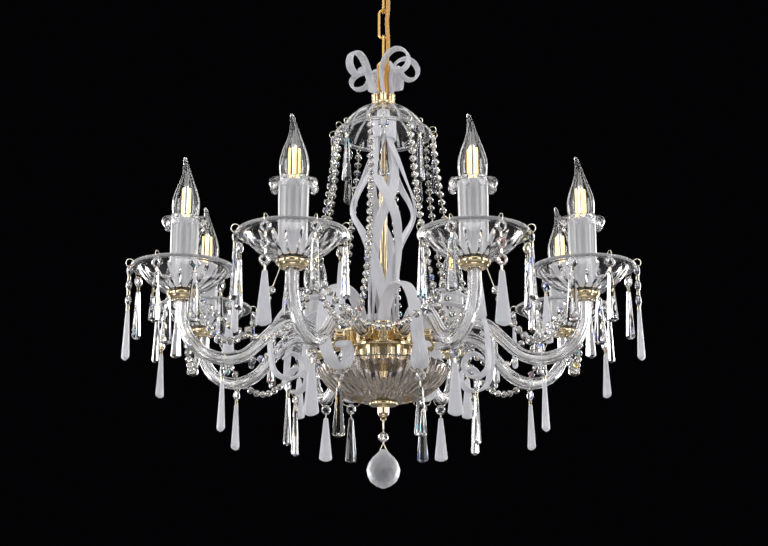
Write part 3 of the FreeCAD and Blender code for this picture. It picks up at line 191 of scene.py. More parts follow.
def outline(corners, soft=0.5, steps=12):
    """A closed half outline of (radius, height[, arc rise]) with its sharp corners rounded."""
    points = []
    for number, corner in enumerate(corners):
        spot = np.array(corner[:2], float)
        if len(corner) == 3:
            points.extend((p, False) for p in arc_points(corners[number - 1][:2], spot, corner[2], steps)[:-1])
        points.append((spot, True))
    made = []
    for number, (spot, is_corner) in enumerate(points):
        before, after = points[number - 1][0], points[(number + 1) % len(points)][0]
        back, ahead = before - spot, after - spot
        long_back, long_ahead = np.linalg.norm(back), np.linalg.norm(ahead)
        bend = np.dot(back, ahead) / max(long_back * long_ahead, 1e-9)
        if not is_corner or bend < -0.94 or spot[0] < 0.01 or soft <= 0:
            made.append(spot)
            continue
        cut = min(soft, 0.4 * long_back, 0.4 * long_ahead)
        first, last = spot + back / long_back * cut, spot + ahead / long_ahead * cut
        for share in (0.0, 0.33, 0.67, 1.0):
            made.append(first * (1 - share) ** 2 + spot * 2 * share * (1 - share) + last * share * share)
    return made


def subdivided(points, longest):
    """A closed outline with no run longer than the given length."""
    made = []
    for number, spot in enumerate(points):
        after = points[(number + 1) % len(points)]
        parts = max(1, int(math.ceil(np.linalg.norm(after - spot) / longest)))
        made.extend(spot + (after - spot) * part / parts for part in range(parts))
    return made


def lathe(points, sides, wave=None):
    """A piece turned round the centre line from a closed outline. A wave moves its points."""
    shape = np.asarray(points, float)
    angles = np.arange(sides) * 2 * math.pi / sides
    radius = np.repeat(shape[:, :1], sides, axis=1)
    height = np.repeat(shape[:, 1:], sides, axis=1)
    if wave is not None:
        radius, height = wave(angles[None, :], radius, height)
    corners = np.stack((radius * np.cos(angles), radius * np.sin(angles), height), axis=-1)
    return Form().add(corners, grid_faces(len(shape), sides, wrap_rows=True))


def unit(vectors):
    return vectors / np.maximum(np.linalg.norm(vectors, axis=-1, keepdims=True), 1e-12)


def carried_frames(line):
    """Directions across a line that turn no more than the line itself does."""
    along = unit(np.gradient(line, axis=0))
    guess = np.array((0.0, 1.0, 0.0)) if abs(along[0][1]) < 0.9 else np.array((1.0, 0.0, 0.0))
    across = []
    for direction in along:
        guess = guess - direction * np.dot(guess, direction)
        guess = guess / np.linalg.norm(guess)
        across.append(guess)
    return np.array(across)


def swept(line, section, across=None, scale=None, wrap=False):
    """A section (width, depth) carried along a line. Across is the way of its width, at each point or for all,
    scale is a (width, depth) pair at each point."""
    line = np.asarray(line, float)
    if wrap:
        around = np.concatenate((line[-1:], line, line[:1]))
        along = unit(around[2:] - around[:-2])
    else:
        along = unit(np.gradient(line, axis=0))
    across = carried_frames(line) if across is None else np.asarray(across, float)
    across = unit(across - along * np.sum(across * along, axis=1, keepdims=True))
    face = np.cross(along, across)
    section = np.asarray(section, float)
    scale = np.ones((len(line), 2)) if scale is None else np.asarray(scale, float)
    wide = section[None, :, 0] * scale[:, :1]
    deep = section[None, :, 1] * scale[:, 1:]
    corners = line[:, None] + across[:, None] * wide[..., None] + face[:, None] * deep[..., None]
    faces = grid_faces(len(line), len(section), wrap_rows=wrap)
    if not wrap:
        faces += end_faces(len(line), len(section))
    return Form().add(corners, faces)


def round_section(radius, sides=8):
    turns = np.arange(sides) * 2 * math.pi / sides
    return np.stack((radius * np.cos(turns), radius * np.sin(turns)), axis=-1)


def rod(start, end, radius, sides=8):
    return swept([np.asarray(start, float), np.asarray(end, float)], round_section(radius, sides))


def wire_ring(radius, wire, middle, axis, steps=20, sides=6):
    """A closed ring of wire round an axis."""
    axis = unit(np.asarray(axis, float))
    first = np.cross(axis, (0.3, 0.5, 0.81))
    first = first / np.linalg.norm(first)
    second = np.cross(axis, first)
    turns = np.arange(steps) * 2 * math.pi / steps
    line = np.asarray(middle, float) + radius * (np.cos(turns)[:, None] * first + np.sin(turns)[:, None] * second)
    return swept(line, round_section(wire, sides), across=axis, wrap=True)


def oval_wire(length, width, wire, top, way=(1.0, 0.0, 0.0), steps=7, sides=6):
    """A welded oval link hanging from its outer top point, its width along way."""
    way = unit(np.asarray(way, float))
    bend = width / 2 - wire
    turns = np.linspace(0, math.pi, steps)
    upper = [(bend * math.cos(t), -wire - bend + bend * math.sin(t)) for t in turns]
    lower = [(-x, -length - z) for x, z in upper]
    line = [np.asarray(top, float) + way * x + UP * z for x, z in upper + lower]
    return swept(line, round_section(wire, sides), across=np.cross(way, UP), wrap=True)


def cubic_line(knots, count):
    """Points on the smooth curve through the knots, timed by the distance between them."""
    knots = np.asarray(knots, float)
    times = runs_along(knots)
    gaps = np.diff(times)
    size = len(knots)
    matrix = np.zeros((size, size))
    rest = np.zeros((size, 3))
    matrix[0, 0] = matrix[-1, -1] = 1.0
    for row in range(1, size - 1):
        before, after = gaps[row - 1], gaps[row]
        matrix[row, row - 1:row + 2] = (before, 2 * (before + after), after)
        rest[row] = 6 * ((knots[row + 1] - knots[row]) / after - (knots[row] - knots[row - 1]) / before)
    bends = np.linalg.solve(matrix, rest)
    wanted = np.linspace(0, times[-1], count)
    spans = np.clip(np.searchsorted(times, wanted, side="right") - 1, 0, size - 2)
    gap = gaps[spans][:, None]
    lead = (wanted - times[spans])[:, None]
    left = gap - lead
    return (bends[spans] * left ** 3 / (6 * gap) + bends[spans + 1] * lead ** 3 / (6 * gap)
            + (knots[spans] / gap - bends[spans] * gap / 6) * left
            + (knots[spans + 1] / gap - bends[spans + 1] * gap / 6) * lead)


def runs_along(line):
    """Distance from a line's start at each of its points."""
    return np.concatenate(((0.0,), np.cumsum(np.linalg.norm(np.diff(line, axis=0), axis=1))))


def even_spots(line, pitch):
    """Points one pitch apart along a line of close points, centred on its length, with directions."""
    line = np.asarray(line, float)
    runs = runs_along(line)
    spaces = int(runs[-1] / pitch)
    goals = (runs[-1] - spaces * pitch) / 2 + pitch * np.arange(spaces + 1)
    return np.stack([np.interp(goals, runs, line[:, axis]) for axis in range(3)], axis=-1)


def staggered_faces(rows, sides, leads):
    """Triangles between rings of equal counts, and both end faces. Leads say which rings are half a step on."""
    faces = []
    for row in range(rows - 1):
        low, high = row * sides, (row + 1) * sides
        for side in range(sides):
            after = (side + 1) % sides
            if leads[row]:
                faces.append((low + side, high + after, high + side))
                faces.append((low + side, low + after, high + after))
            else:
                faces.append((low + side, low + after, high + side))
                faces.append((low + after, high + after, high + side))
    return faces + end_faces(rows, sides)


def stacked(sections):
    """A faceted solid through rings of equal counts, closed at both ends."""
    rows, sides = len(sections), len(sections[0])
    return Form().add(np.concatenate(sections), grid_faces(rows, sides) + end_faces(rows, sides))


# The finishes by their short names, filled in by main.
finishes = {}


def make_piece(name, form, finish, replaces=None, body="chandelier", crease=38.0, flat=False):
    """Turns a form into a mesh object that rides on a body of the frame. Finish is one or two finishes' names."""
    mesh = bpy.data.meshes.new(name)
    mesh.from_pydata((form.corners() * MM).tolist(), [], form.faces)
    words = finish.split()
    for word in words:
        mesh.materials.append(finishes[word])
    mesh.polygons.foreach_set("material_index", form.finishes)
    worker = bmesh.new()
    worker.from_mesh(mesh)
    bmesh.ops.remove_doubles(worker, verts=worker.verts, dist=2e-7)
    bmesh.ops.recalc_face_normals(worker, faces=worker.faces)
    worker.to_mesh(mesh)
    worker.free()
    if flat:
        mesh.shade_flat()
    else:
        mesh.shade_smooth()
        mesh.set_sharp_from_angle(angle=math.radians(crease))
    made = bpy.data.objects.new(name, mesh)
    bpy.context.scene.collection.objects.link(made)
    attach(made, body)
    if replaces:
        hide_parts(replaces)
    return made


# ---------------------------------------------------------------- shader groups

def node(tree, kind, links=(), **settings):
    """A node with its settings, and links given as (input, value or socket that feeds it)."""
    made = tree.nodes.new(kind)
    for key, value in settings.items():
        setattr(made, key, value)
    for target, source in links:
        if isinstance(source, bpy.types.NodeSocket):
            tree.links.new(source, made.inputs[target])
        else:
            made.inputs[target].default_value = source
    return made


def maths(tree, operation, *values):
    return node(tree, "ShaderNodeMath", enumerate(values), operation=operation).outputs[0]


def noise(tree, place, scale, detail):
    cloud = node(tree, "ShaderNodeTexNoise", (("Vector", place), ("Scale", scale), ("Detail", detail)))
    return cloud.outputs["Fac"]


def ranged(tree, value, low, high, start, end):
    """A value carried over from the span low to high to the span start to end."""
    spans = ("Value", value), ("From Min", low), ("From Max", high), ("To Min", start), ("To Max", end)
    return node(tree, "ShaderNodeMapRange", spans).outputs["Result"]


def mixed_colour(tree, share, first, second):
    return node(tree, "ShaderNodeMix", ((0, share), (6, first), (7, second)), data_type="RGBA").outputs[2]


def mixed_light(tree, share, first, second):
    return node(tree, "ShaderNodeMixShader", ((0, share), (1, first), (2, second))).outputs[0]


def shader_group(name, output, **inputs):
    """A node group with one output: the group, its inputs' sockets, its output's socket, the object's places."""
    group = bpy.data.node_groups.new(name, "ShaderNodeTree")
    for label, value in inputs.items():
        kind = "NodeSocketColor" if isinstance(value, tuple) else "NodeSocketFloat"
        socket = group.interface.new_socket(name=label.replace("_", " "), in_out="INPUT", socket_type=kind)
        socket.default_value = value
    kind = "NodeSocketColor" if output == "Colour" else "NodeSocketFloat"
    group.interface.new_socket(name=output, in_out="OUTPUT", socket_type=kind)
    given, result = group.nodes.new("NodeGroupInput").outputs, group.nodes.new("NodeGroupOutput").inputs[output]
    return group, given, result, node(group, "ShaderNodeTexCoord").outputs["Object"]


def uneven_sheen():
    """Handling marks: a roughness that drifts between two values with fine smears."""
    group, given, result, place = shader_group("Uneven sheen", "Roughness", Scale=60.0, Clean=0.1, Dull=0.3)
    cloud = noise(group, place, given["Scale"], 5.0)
    group.links.new(ranged(group, cloud, 0.35, 0.7, given["Clean"], given["Dull"]), result)
    return group


def surface_ripple():
    """Waves left by pressing or drawing: a fine and a slow one added together."""
    group, given, result, place = shader_group("Surface ripple", "Height", Slow_scale=40.0, Fine_scale=400.0,
                                               Fine_share=0.3)
    slow = noise(group, place, given["Slow scale"], 2.0)
    fine = noise(group, place, given["Fine scale"], 4.0)
    part = maths(group, "MULTIPLY", fine, given["Fine share"])
    group.links.new(maths(group, "ADD", slow, part), result)
    return group


def colour_drift():
    """Two colours that drift into each other over the surface."""
    group, given, result, place = shader_group("Colour drift", "Colour", Main=(1, 1, 1, 1),
                                               Second=(0.5, 0.5, 0.5, 1), Scale=30.0, Amount=0.5)
    share = maths(group, "MULTIPLY", noise(group, place, given["Scale"], 3.0), given["Amount"])
    group.links.new(mixed_colour(group, share, given["Main"], given["Second"]), result)
    return group


def painted_facet_fire():
    """Painted fire: a few facets, picked by their place, take a spectral tint that stands in for the light cut glass
    splits.
    """
    group, given, result, place = shader_group("Facet flash", "Colour", Glass=(1, 1, 1, 1), Scale=45.0, Rarity=0.8)
    cells = node(group, "ShaderNodeTexVoronoi", (("Vector", place), ("Scale", given["Scale"])))
    parts = node(group, "ShaderNodeSeparateColor", (("Color", cells.outputs["Color"]),)).outputs
    tint = node(group, "ShaderNodeValToRGB", (("Fac", parts["Red"]),))
    ramp = tint.color_ramp
    ramp.elements[0].color = (0.2, 0.34, 1.0, 1)
    ramp.elements[1].color = (1.0, 0.86, 0.35, 1)
    for spot, colour in ((0.35, (0.6, 0.55, 1.0, 1)), (0.55, (0.3, 0.85, 1.0, 1)), (0.8, (1.0, 0.55, 0.5, 1))):
        ramp.elements.new(spot).color = colour
    chosen = maths(group, "GREATER_THAN", parts["Green"], given["Rarity"])
    group.links.new(mixed_colour(group, chosen, given["Glass"], tint.outputs["Color"]), result)
    return group


groups = {}


def grouped(tree, group, target, **values):
    """A placed node group with its inputs set, which feeds a socket."""
    made = node(tree, "ShaderNodeGroup", node_tree=groups[group])
    for label, value in values.items():
        made.inputs[label.replace("_", " ")].default_value = value
    tree.links.new(made.outputs[0], target)
    return made.outputs[0]


def new_finish(name):
    """A material with a single Principled shader, its tree and that shader."""
    finish = bpy.data.materials.new(name)
    finish.use_nodes = True
    return finish, finish.node_tree, finish.node_tree.nodes["Principled BSDF"]


def surfaced(name, colour, second, drift, sheen, ripple, flash=None, **inputs):
    """A material with drift (scale, amount) to a second colour or a painted facet flash of spectral fire (scale,
    rarity), sheen (scale, clean, dull), ripple (strength, depth, slow scale, fine scale, fine share) and further
    inputs of its shader."""
    finish, tree, shader = new_finish(name)
    if flash:
        grouped(tree, "flash", shader.inputs["Base Color"], Glass=(*colour, 1), Scale=flash[0], Rarity=flash[1])
    else:
        grouped(tree, "drift", shader.inputs["Base Color"], Main=(*colour, 1), Second=(*second, 1), Scale=drift[0],
                Amount=drift[1])
    grouped(tree, "sheen", shader.inputs["Roughness"], Scale=sheen[0], Clean=sheen[1], Dull=sheen[2])
    bump = node(tree, "ShaderNodeBump", (("Strength", ripple[0]), ("Distance", ripple[1])))
    grouped(tree, "ripple", bump.inputs["Height"], Slow_scale=ripple[2], Fine_scale=ripple[3], Fine_share=ripple[4])
    tree.links.new(bump.outputs["Normal"], shader.inputs["Normal"])
    for label, value in inputs.items():
        shader.inputs[label.replace("_", " ")].default_value = value
    return finish, tree, shader


def metal_finish(name, main, second, clean, dull, ripple=0.15):
    return surfaced(name, main, second, (25.0, 0.7), (60.0, clean, dull), (ripple, 0.0004, 90.0, 900.0, 0.25),
                    Metallic=1.0)[0]


def plastic_finish(name, main, second, clean, dull, coat=0.0):
    return surfaced(name, main, second, (14.0, 0.6), (45.0, clean, dull), (0.06, 0.0004, 60.0, 1200.0, 0.2),
                    Coat_Weight=coat, Coat_Roughness=0.05)[0]


GLASS_RAY_DEPTH = 9.0


def let_lamps_through(finish, tree, shader, clear):
    """Glass lets lamps light what is behind it, and rays deep inside a cluster go straight on."""
    path = node(tree, "ShaderNodeLightPath").outputs
    deep = maths(tree, "GREATER_THAN", path["Ray Depth"], GLASS_RAY_DEPTH)
    either = maths(tree, "MAXIMUM", path["Is Shadow Ray"], deep)
    open_air = node(tree, "ShaderNodeBsdfTransparent", (("Color", (clear, clear, clear, 1)),)).outputs[0]
    light = mixed_light(tree, either, shader.outputs[0], open_air)
    tree.links.new(light, tree.nodes["Material Output"].inputs["Surface"])
    return finish


def glass_finish(name, colour, roughness, ior=1.5, ripple=0.1, flash=None, clear=0.94, slow=45.0):
    made = surfaced(name, colour, [0.95 * c for c in colour], (20.0, 0.6), (40.0, roughness, roughness * 2.5 + 0.01),
                    (ripple, 0.0006, slow, 600.0, 0.1), flash, IOR=ior, Transmission_Weight=1.0)
    return let_lamps_through(*made, clear)


def frosted_finish(name, colour, passes=0.35, satin=(0.42, 0.6), ripple=0.35):
    """Sand-blasted glass: satin skin over milky glass that passes some light."""
    made = surfaced(name, colour, [0.88 * c for c in colour], (40.0, 0.8), (90.0, *satin),
                    (ripple, 0.0003, 120.0, 2500.0, 0.6), Transmission_Weight=passes, IOR=1.45)
    return let_lamps_through(*made, 0.45)


def glow_finish(name, colour, strength):
    """Lit light-emitting strip of a lamp filament."""
    finish, tree, shader = new_finish(name)
    tone = grouped(tree, "drift", shader.inputs["Base Color"], Main=(*colour, 1), Second=(1.0, 0.6, 0.18, 1),
                   Scale=220.0, Amount=0.8)
    tree.links.new(tone, shader.inputs["Emission Color"])
    shader.inputs["Emission Strength"].default_value = strength
    shader.inputs["Roughness"].default_value = 0.4
    return finish


def make_finishes(colours):
    groups.update(sheen=uneven_sheen(), ripple=surface_ripple(), drift=colour_drift(), flash=painted_facet_fire())
    brass, crystal, frosted = tuple(colours.brass), tuple(colours.crystal), tuple(colours.frosted)
    return {
        "brass": metal_finish("polished_brass", brass, [0.85 * c for c in brass], 0.04, 0.13, ripple=0.08),
        "gold": metal_finish("gold_chain", (0.83, 0.53, 0.16), (0.7, 0.4, 0.1), 0.1, 0.24),
        "steel": metal_finish("strap_steel", (0.62, 0.62, 0.6), (0.5, 0.5, 0.52), 0.25, 0.45),
        "silver": metal_finish("silver_pins", (0.85, 0.8, 0.68), (0.75, 0.66, 0.48), 0.12, 0.25),
        "crystal": glass_finish("clear_crystal", crystal, 0.004, ior=1.52, ripple=0.12),
        "ribbed": glass_finish("drawn_crystal", crystal, 0.006, ior=1.52, ripple=0.25, slow=25.0),
        # Painted shade and brass reflection: the bowl's clear crystal is tinted brownish grey so its body reads
        # darker, while its reflections stay bright.
        "bowl": glass_finish("bowl_crystal", (0.66, 0.61, 0.56), 0.004, ior=1.52, ripple=0.05),
        # Cut crystal and its beads take painted spectral fire in their colour through the facet flash.
        "cut": glass_finish("cut_crystal", crystal, 0.0, ior=1.6, ripple=0.03, flash=(105.0, 0.92)),
        "bead": glass_finish("bead_crystal", crystal, 0.0, ior=1.6, ripple=0.03, flash=(120.0, 0.96)),
        "frosted": frosted_finish("frosted_glass", frosted),
        "ball": frosted_finish("frosted_ball_glass", frosted, 0.86, (0.38, 0.46), 0.06),
        # Painted highlight: rims and cut edges get a whitish frosted skin that stands in for light catching their
        # polished edges, with a rougher surface too.
        "edge": frosted_finish("painted_highlight_edge", (0.9, 0.9, 0.92), 0.6, (0.2, 0.32)),
        "bulb": glass_finish("bulb_glass", (0.99, 0.99, 1.0), 0.0, ior=1.45, ripple=0.01, clear=0.98),
        "sleeve": plastic_finish("white_sleeve", tuple(colours.sleeve), (0.48, 0.48, 0.48), 0.14, 0.26, coat=0.5),
        "socket": plastic_finish("holder_plastic", (0.7, 0.67, 0.6), (0.6, 0.56, 0.5), 0.35, 0.5),
        "terminal": plastic_finish("terminal_plastic", (0.8, 0.79, 0.74), (0.7, 0.68, 0.62), 0.3, 0.45),
        "wire": plastic_finish("arm_wire", (0.62, 0.61, 0.6), (0.5, 0.5, 0.5), 0.25, 0.4),
        "cable": surfaced("amber_cable", tuple(colours.cable), (0.72, 0.3, 0.03), (60.0, 0.8), (80.0, 0.12, 0.3),
                          (0.1, 0.0003, 150.0, 900.0, 0.3), Coat_Weight=0.6, Coat_Roughness=0.06)[0],
        "glow": glow_finish("filament_glow", tuple(colours.glow), 1.35),
    }


# ---------------------------------------------------------------- shared shapes

def ribbed_band(ribs=5, samples=6, groove=0.16):
    """Section of a pressed glass ribbon, one unit wide and thick: rounded edges, ribs lengthwise."""
    steps = ribs * samples
    upper = []
    for number in range(steps + 1):
        across = -0.5 + number / steps
        edge = (1 - abs(2 * across) ** 4) ** 0.5
        rib = 1 - groove * (1 - abs(math.sin(math.pi * ribs * (across + 0.5))))
        upper.append((across, 0.5 * edge * rib))
    lower = [(across, -depth) for across, depth in upper[-2:0:-1]]
    return upper + lower


BAND_SECTION = ribbed_band()


def band_of_glass(line, across, widths, thickness):
    """A ribbed ribbon along a line, its ends drawn in to a rounded tip."""
    line = np.asarray(line, float)
    widths = np.broadcast_to(np.asarray(widths, float), (len(line),)).copy()
    runs = runs_along(line)
    near = np.minimum(runs, runs[-1] - runs)
    tip = np.sqrt(np.clip(1 - (1 - np.clip(near / 3.0, 0, 1)) ** 2, 0.06, 1))
    scale = np.stack((widths * (0.45 + 0.55 * tip), thickness * tip), axis=-1)
    return swept(line, BAND_SECTION, across=across, scale=scale)


def cut_bead(radius, direction, middle, sides=8):
    """A faceted bead strung along a direction."""
    direction = unit(np.asarray(direction, float))
    first = np.cross(direction, (0.21, 0.34, 0.92))
    first = first / np.linalg.norm(first)
    second = np.cross(direction, first)
    rows = ((-0.86, 0.36, 0.0), (-0.52, 0.82, 0.5), (0.0, 1.0, 0.0), (0.52, 0.82, 0.5), (0.86, 0.36, 0.0))
    points = []
    for height, width, phase in rows:
        turns = (np.arange(sides) + phase) * 2 * math.pi / sides
        points.append(middle + radius * (height * direction + width * (
            np.cos(turns)[:, None] * first + np.sin(turns)[:, None] * second)))
    faces = staggered_faces(len(rows), sides, [phase > 0 for *_, phase in rows])
    return Form().add(np.concatenate(points), faces)


def octagon_bead(middle, radius=7.0, thick=6.0):
    """A brilliant-cut octagon bead that faces along X."""
    rows = ((-0.5, 0.46, 0.5), (-0.34, 0.8, 0.0), (-0.1, 1.0, 0.0), (0.1, 1.0, 0.0), (0.34, 0.8, 0.0),
            (0.5, 0.46, 0.5))
    sections = []
    for offset, share, phase in rows:
        turns = (np.arange(8) + 0.5 + phase) * math.pi / 4
        reach = radius * share / math.cos(math.pi / 8)
        sections.append(np.stack((np.full(8, thick * offset), reach * np.cos(turns), reach * np.sin(turns)),
                                 axis=-1) + middle)
    # The first and last rings are half a step round, so the facets next to them are triangles.
    faces = [tuple(corner + 8 for corner in face) for face in grid_faces(4, 8)]
    for side in range(8):
        after = (side + 1) % 8
        faces.append((side, 8 + after, 8 + side))
        faces.append((side, after, 8 + after))
        faces.append((32 + side, 40 + after, 40 + side))
        faces.append((32 + side, 32 + after, 40 + after))
    return Form().add(np.concatenate(sections), faces + end_faces(len(rows), 8))


PRISM_LENGTH = 62.0
PRISM_THICK = 8.0
HOLE_DROP = 2.4


def long_prism(top, foot):
    """A tall cut drop: narrow head, flat front and back with bevelled flanks, shallow pointed foot."""
    rows = ((0.0, 5.4, 2.4, 0.2), (0.03, 6.6, 4.0, 0.24), (0.93, foot, PRISM_THICK, 0.24),
            (0.965, foot * 0.9, PRISM_THICK * 0.8, 0.24), (1.0, foot * 0.3, PRISM_THICK * 0.3, 0.2))
    sections = []
    for share, width, depth, flank in rows:
        half, face = width / 2, depth / 2
        part = width * flank
        edge = depth * 0.12
        ring = ((edge, half), (face, part), (face, -part), (edge, -half), (-edge, -half), (-face, -part),
                (-face, part), (-edge, half))
        sections.append(np.array([(x, y, HOLE_DROP - PRISM_LENGTH * share) for x, y in ring]) + top)
    return stacked(sections)


RING_RADIUS = 5.0
PIN = 0.45
OCTAGON = 7.0
OCTAGON_PITCH = 19.0


def chained_drop(hang, count, foot, ring=True):
    """A ring, octagon beads joined by links, and a prism. Returns wires, beads and prism apart."""
    wires, beads = Form(), Form()
    spot = np.asarray(hang, float)
    if ring:
        wires.take(wire_ring(RING_RADIUS, PIN, spot + UP * RING_RADIUS, (0, 1, 0)))
    for _ in range(count):
        middle = spot - UP * (OCTAGON - HOLE_DROP)
        beads.take(octagon_bead(middle))
        low = middle - UP * (OCTAGON - HOLE_DROP)
        reach = OCTAGON_PITCH - 2 * (OCTAGON - HOLE_DROP)
        wires.take(oval_wire(reach + 2 * PIN, 4.2, PIN, low + UP * PIN))
        wires.take(rod(low - UP * 1.2 + (0.9, 0, 0), low - UP * (reach - 1.2) + (0.9, 0, 0), 0.4, sides=6))
        spot = low - UP * reach
    return wires, beads, long_prism(spot, foot)


def threaded(line, lead_in, lead_out, pitch=11.5, radius=5.0):
    """Cut beads on wire links along a line. Returns beads and wires apart."""
    spots = even_spots(line, pitch)
    stops = np.concatenate(([lead_in], spots, [lead_out]))
    beads, wires = Form(), Form()
    for before, spot, after in zip(stops, spots, stops[2:]):
        beads.take(cut_bead(radius, after - before, spot))
    for before, after in zip(stops, stops[1:]):
        wires.take(rod(before, after, 0.5, sides=6))
    return beads, wires


def refinish(form, finish, chosen):
    """Gives another finish to the faces whose middle is chosen."""
    corners = form.corners()
    for number, face in enumerate(form.faces):
        if chosen(*corners[list(face)].mean(axis=0)):
            form.finishes[number] = finish
    return form


def groove(angle, count, share):
    """1 in the middle of each of the evenly spaced cuts and 0 away from them."""
    phase = np.abs((angle * count / (2 * math.pi) + 0.5) % 1 - 0.5)
    return np.clip(1 - phase / share, 0, 1)


def between(value, low, high, soft):
    """1 inside a span and 0 outside it, with soft ends."""
    return np.clip((value - low) / soft, 0, 1) * np.clip((high - value) / soft, 0, 1)


# ---------------------------------------------------------------- arms

ARM_START = 59.0
ARM_LEVEL = -556.0
ARM_BEND = 40.0
ARM_SLOPE = 20.0
ARM_CREST = 121.0
ARM_SWEEP = 54.3
ARM_LOW = 215.0
ARM_RADIUS = 8.0
ARM_BORE = 4.8


def arm_line():
    """Centre line of a glass arm in its own upright plane, X outwards, and its lowest level."""
    def bend(centre, radius, first, last, steps):
        turns = np.radians(np.linspace(first, last, steps))
        return [(centre[0] + radius * math.cos(t), 0.0, centre[1] + radius * math.sin(t)) for t in turns]

    leave = ARM_START + 12.0
    lift = bend((leave, ARM_LEVEL + ARM_BEND), ARM_BEND, -90, ARM_SLOPE - 90, 7)
    slope = math.radians(ARM_SLOPE)
    reach = ARM_CREST - ARM_BEND * math.sin(slope) - lift[-1][0]
    crest_level = lift[-1][2] + reach * math.tan(slope) - ARM_BEND * math.cos(slope)
    crest = bend((ARM_CREST, crest_level), ARM_BEND, 90 + ARM_SLOPE, 45, 14)
    half = ARM_SWEEP * math.sqrt(0.5)
    low_level = crest[-1][2] - (ARM_LOW - half - crest[-1][0]) + half
    low = bend((ARM_LOW, low_level), ARM_SWEEP, -135, 0, 36)
    rough = [(ARM_START, 0.0, ARM_LEVEL), (ARM_START + 6, 0.0, ARM_LEVEL)] + lift + crest
    straight = [tuple(np.array(crest[-1]) * (1 - s) + np.array(low[0]) * s) for s in (0.25, 0.5, 0.75)]
    rise = [(low[-1][0], 0.0, low[-1][2] * (1 - s) + ARM_END * s) for s in (0.25, 0.5, 0.75, 1.0)]
    return np.array(rough + straight + low + rise), low_level - ARM_SWEEP


# ---------------------------------------------------------------- settings

class ChandelierSizes(bpy.types.PropertyGroup):
    """Sizes of the finished pieces that are a matter of taste."""
    rib_depth: FloatProperty(name="Arm rib depth", description="Depth of the ribs drawn along each glass arm",
                             default=0.0007, min=0.0, max=0.002, unit="LENGTH")
    rib_count: IntProperty(name="Arm ribs", description="Ribs round a glass arm", default=10, min=4, max=24)
    dish_cuts: IntProperty(name="Dish cuts", description="Radial cuts under each dish", default=20, min=6, max=40)
    bowl_flutes: IntProperty(name="Bowl flutes", description="Flutes round the bottom bowl", default=44, min=12,
                             max=72)
    petal_count: IntProperty(name="Drip ring petals", description="Petals of a candle's drip ring", default=8, min=3,
                             max=16)
    tip_bend: FloatProperty(name="Bulb tip bend", description="How far a bulb's flame tip leans sideways",
                            default=0.0045, min=0.0, max=0.01, unit="LENGTH")
    lamp_power: FloatProperty(name="Studio light", description="Strength of the studio lamps", default=1.0, min=0.1,
                              max=5.0, subtype="FACTOR")


def colour_setting(name, about, default):
    return FloatVectorProperty(name=name, description=about, subtype="COLOR", size=3, min=0.0, max=1.0,
                               default=default)


class ChandelierColours(bpy.types.PropertyGroup):
    """Colours of the finishes."""
    brass: colour_setting("Brass", "Polished brass", (0.79, 0.645, 0.41))
    crystal: colour_setting("Crystal", "Clear glass", (0.985, 0.985, 1.0))
    frosted: colour_setting("Frosted glass", "Sand-blasted glass", (0.84, 0.84, 0.88))
    sleeve: colour_setting("Candle sleeve", "White candle sleeves", (0.53, 0.53, 0.55))
    cable: colour_setting("Cable", "Amber supply cable", (0.85, 0.46, 0.07))
    glow: colour_setting("Filament", "Lit filament", (1.0, 0.78, 0.36))


# ---------------------------------------------------------------- pieces

CORD_POINTS = ((20.0, -8.0, -10.0), (15.5, -8.2, -26.0), (7.6, -7.2, -44.0), (6.4, -7.4, -64.0), (6.6, -7.0, -86.0),
               (4.6, -8.2, -106.0), (6.2, -8.4, -126.0), (6.6, -7.2, -146.0), (4.4, -7.0, -168.0),
               (3.65, -6.35, -190.0), (3.65, -6.35, -214.0))
CORD_DIAMETER = 5.5
# The cable crosses two hinges, so it is two pieces that meet at this depth.
CORD_JOIN = 72.0


# The photograph's camera: metres from the middle of the ceiling plane, tilted up.
CAMERA_PLACE = (0.0, -1.71594, -0.93787)
CAMERA_TILT = 0.268831
CAMERA_LENS = 63.05
SENSOR_WIDTH = 36.0
SIDE_SHIFT = 0.0008


class CHANDELIER_OT_camera(bpy.types.Operator):
    """Camera at the photograph's place, looking up at the chandelier"""
    bl_idname = "chandelier.camera"
    bl_label = "Camera"

    def execute(self, context):
        lens = bpy.data.cameras.new("camera")
        lens.lens = CAMERA_LENS
        lens.sensor_width = SENSOR_WIDTH
        lens.shift_x = SIDE_SHIFT
        lens.clip_start = 0.05
        lens.clip_end = 50.0
        camera = bpy.data.objects.new("camera", lens)
        camera.location = CAMERA_PLACE
        camera.rotation_euler = (math.pi / 2 + CAMERA_TILT, 0.0, 0.0)
        context.scene.collection.objects.link(camera)
        context.scene.camera = camera
        return {"FINISHED"}


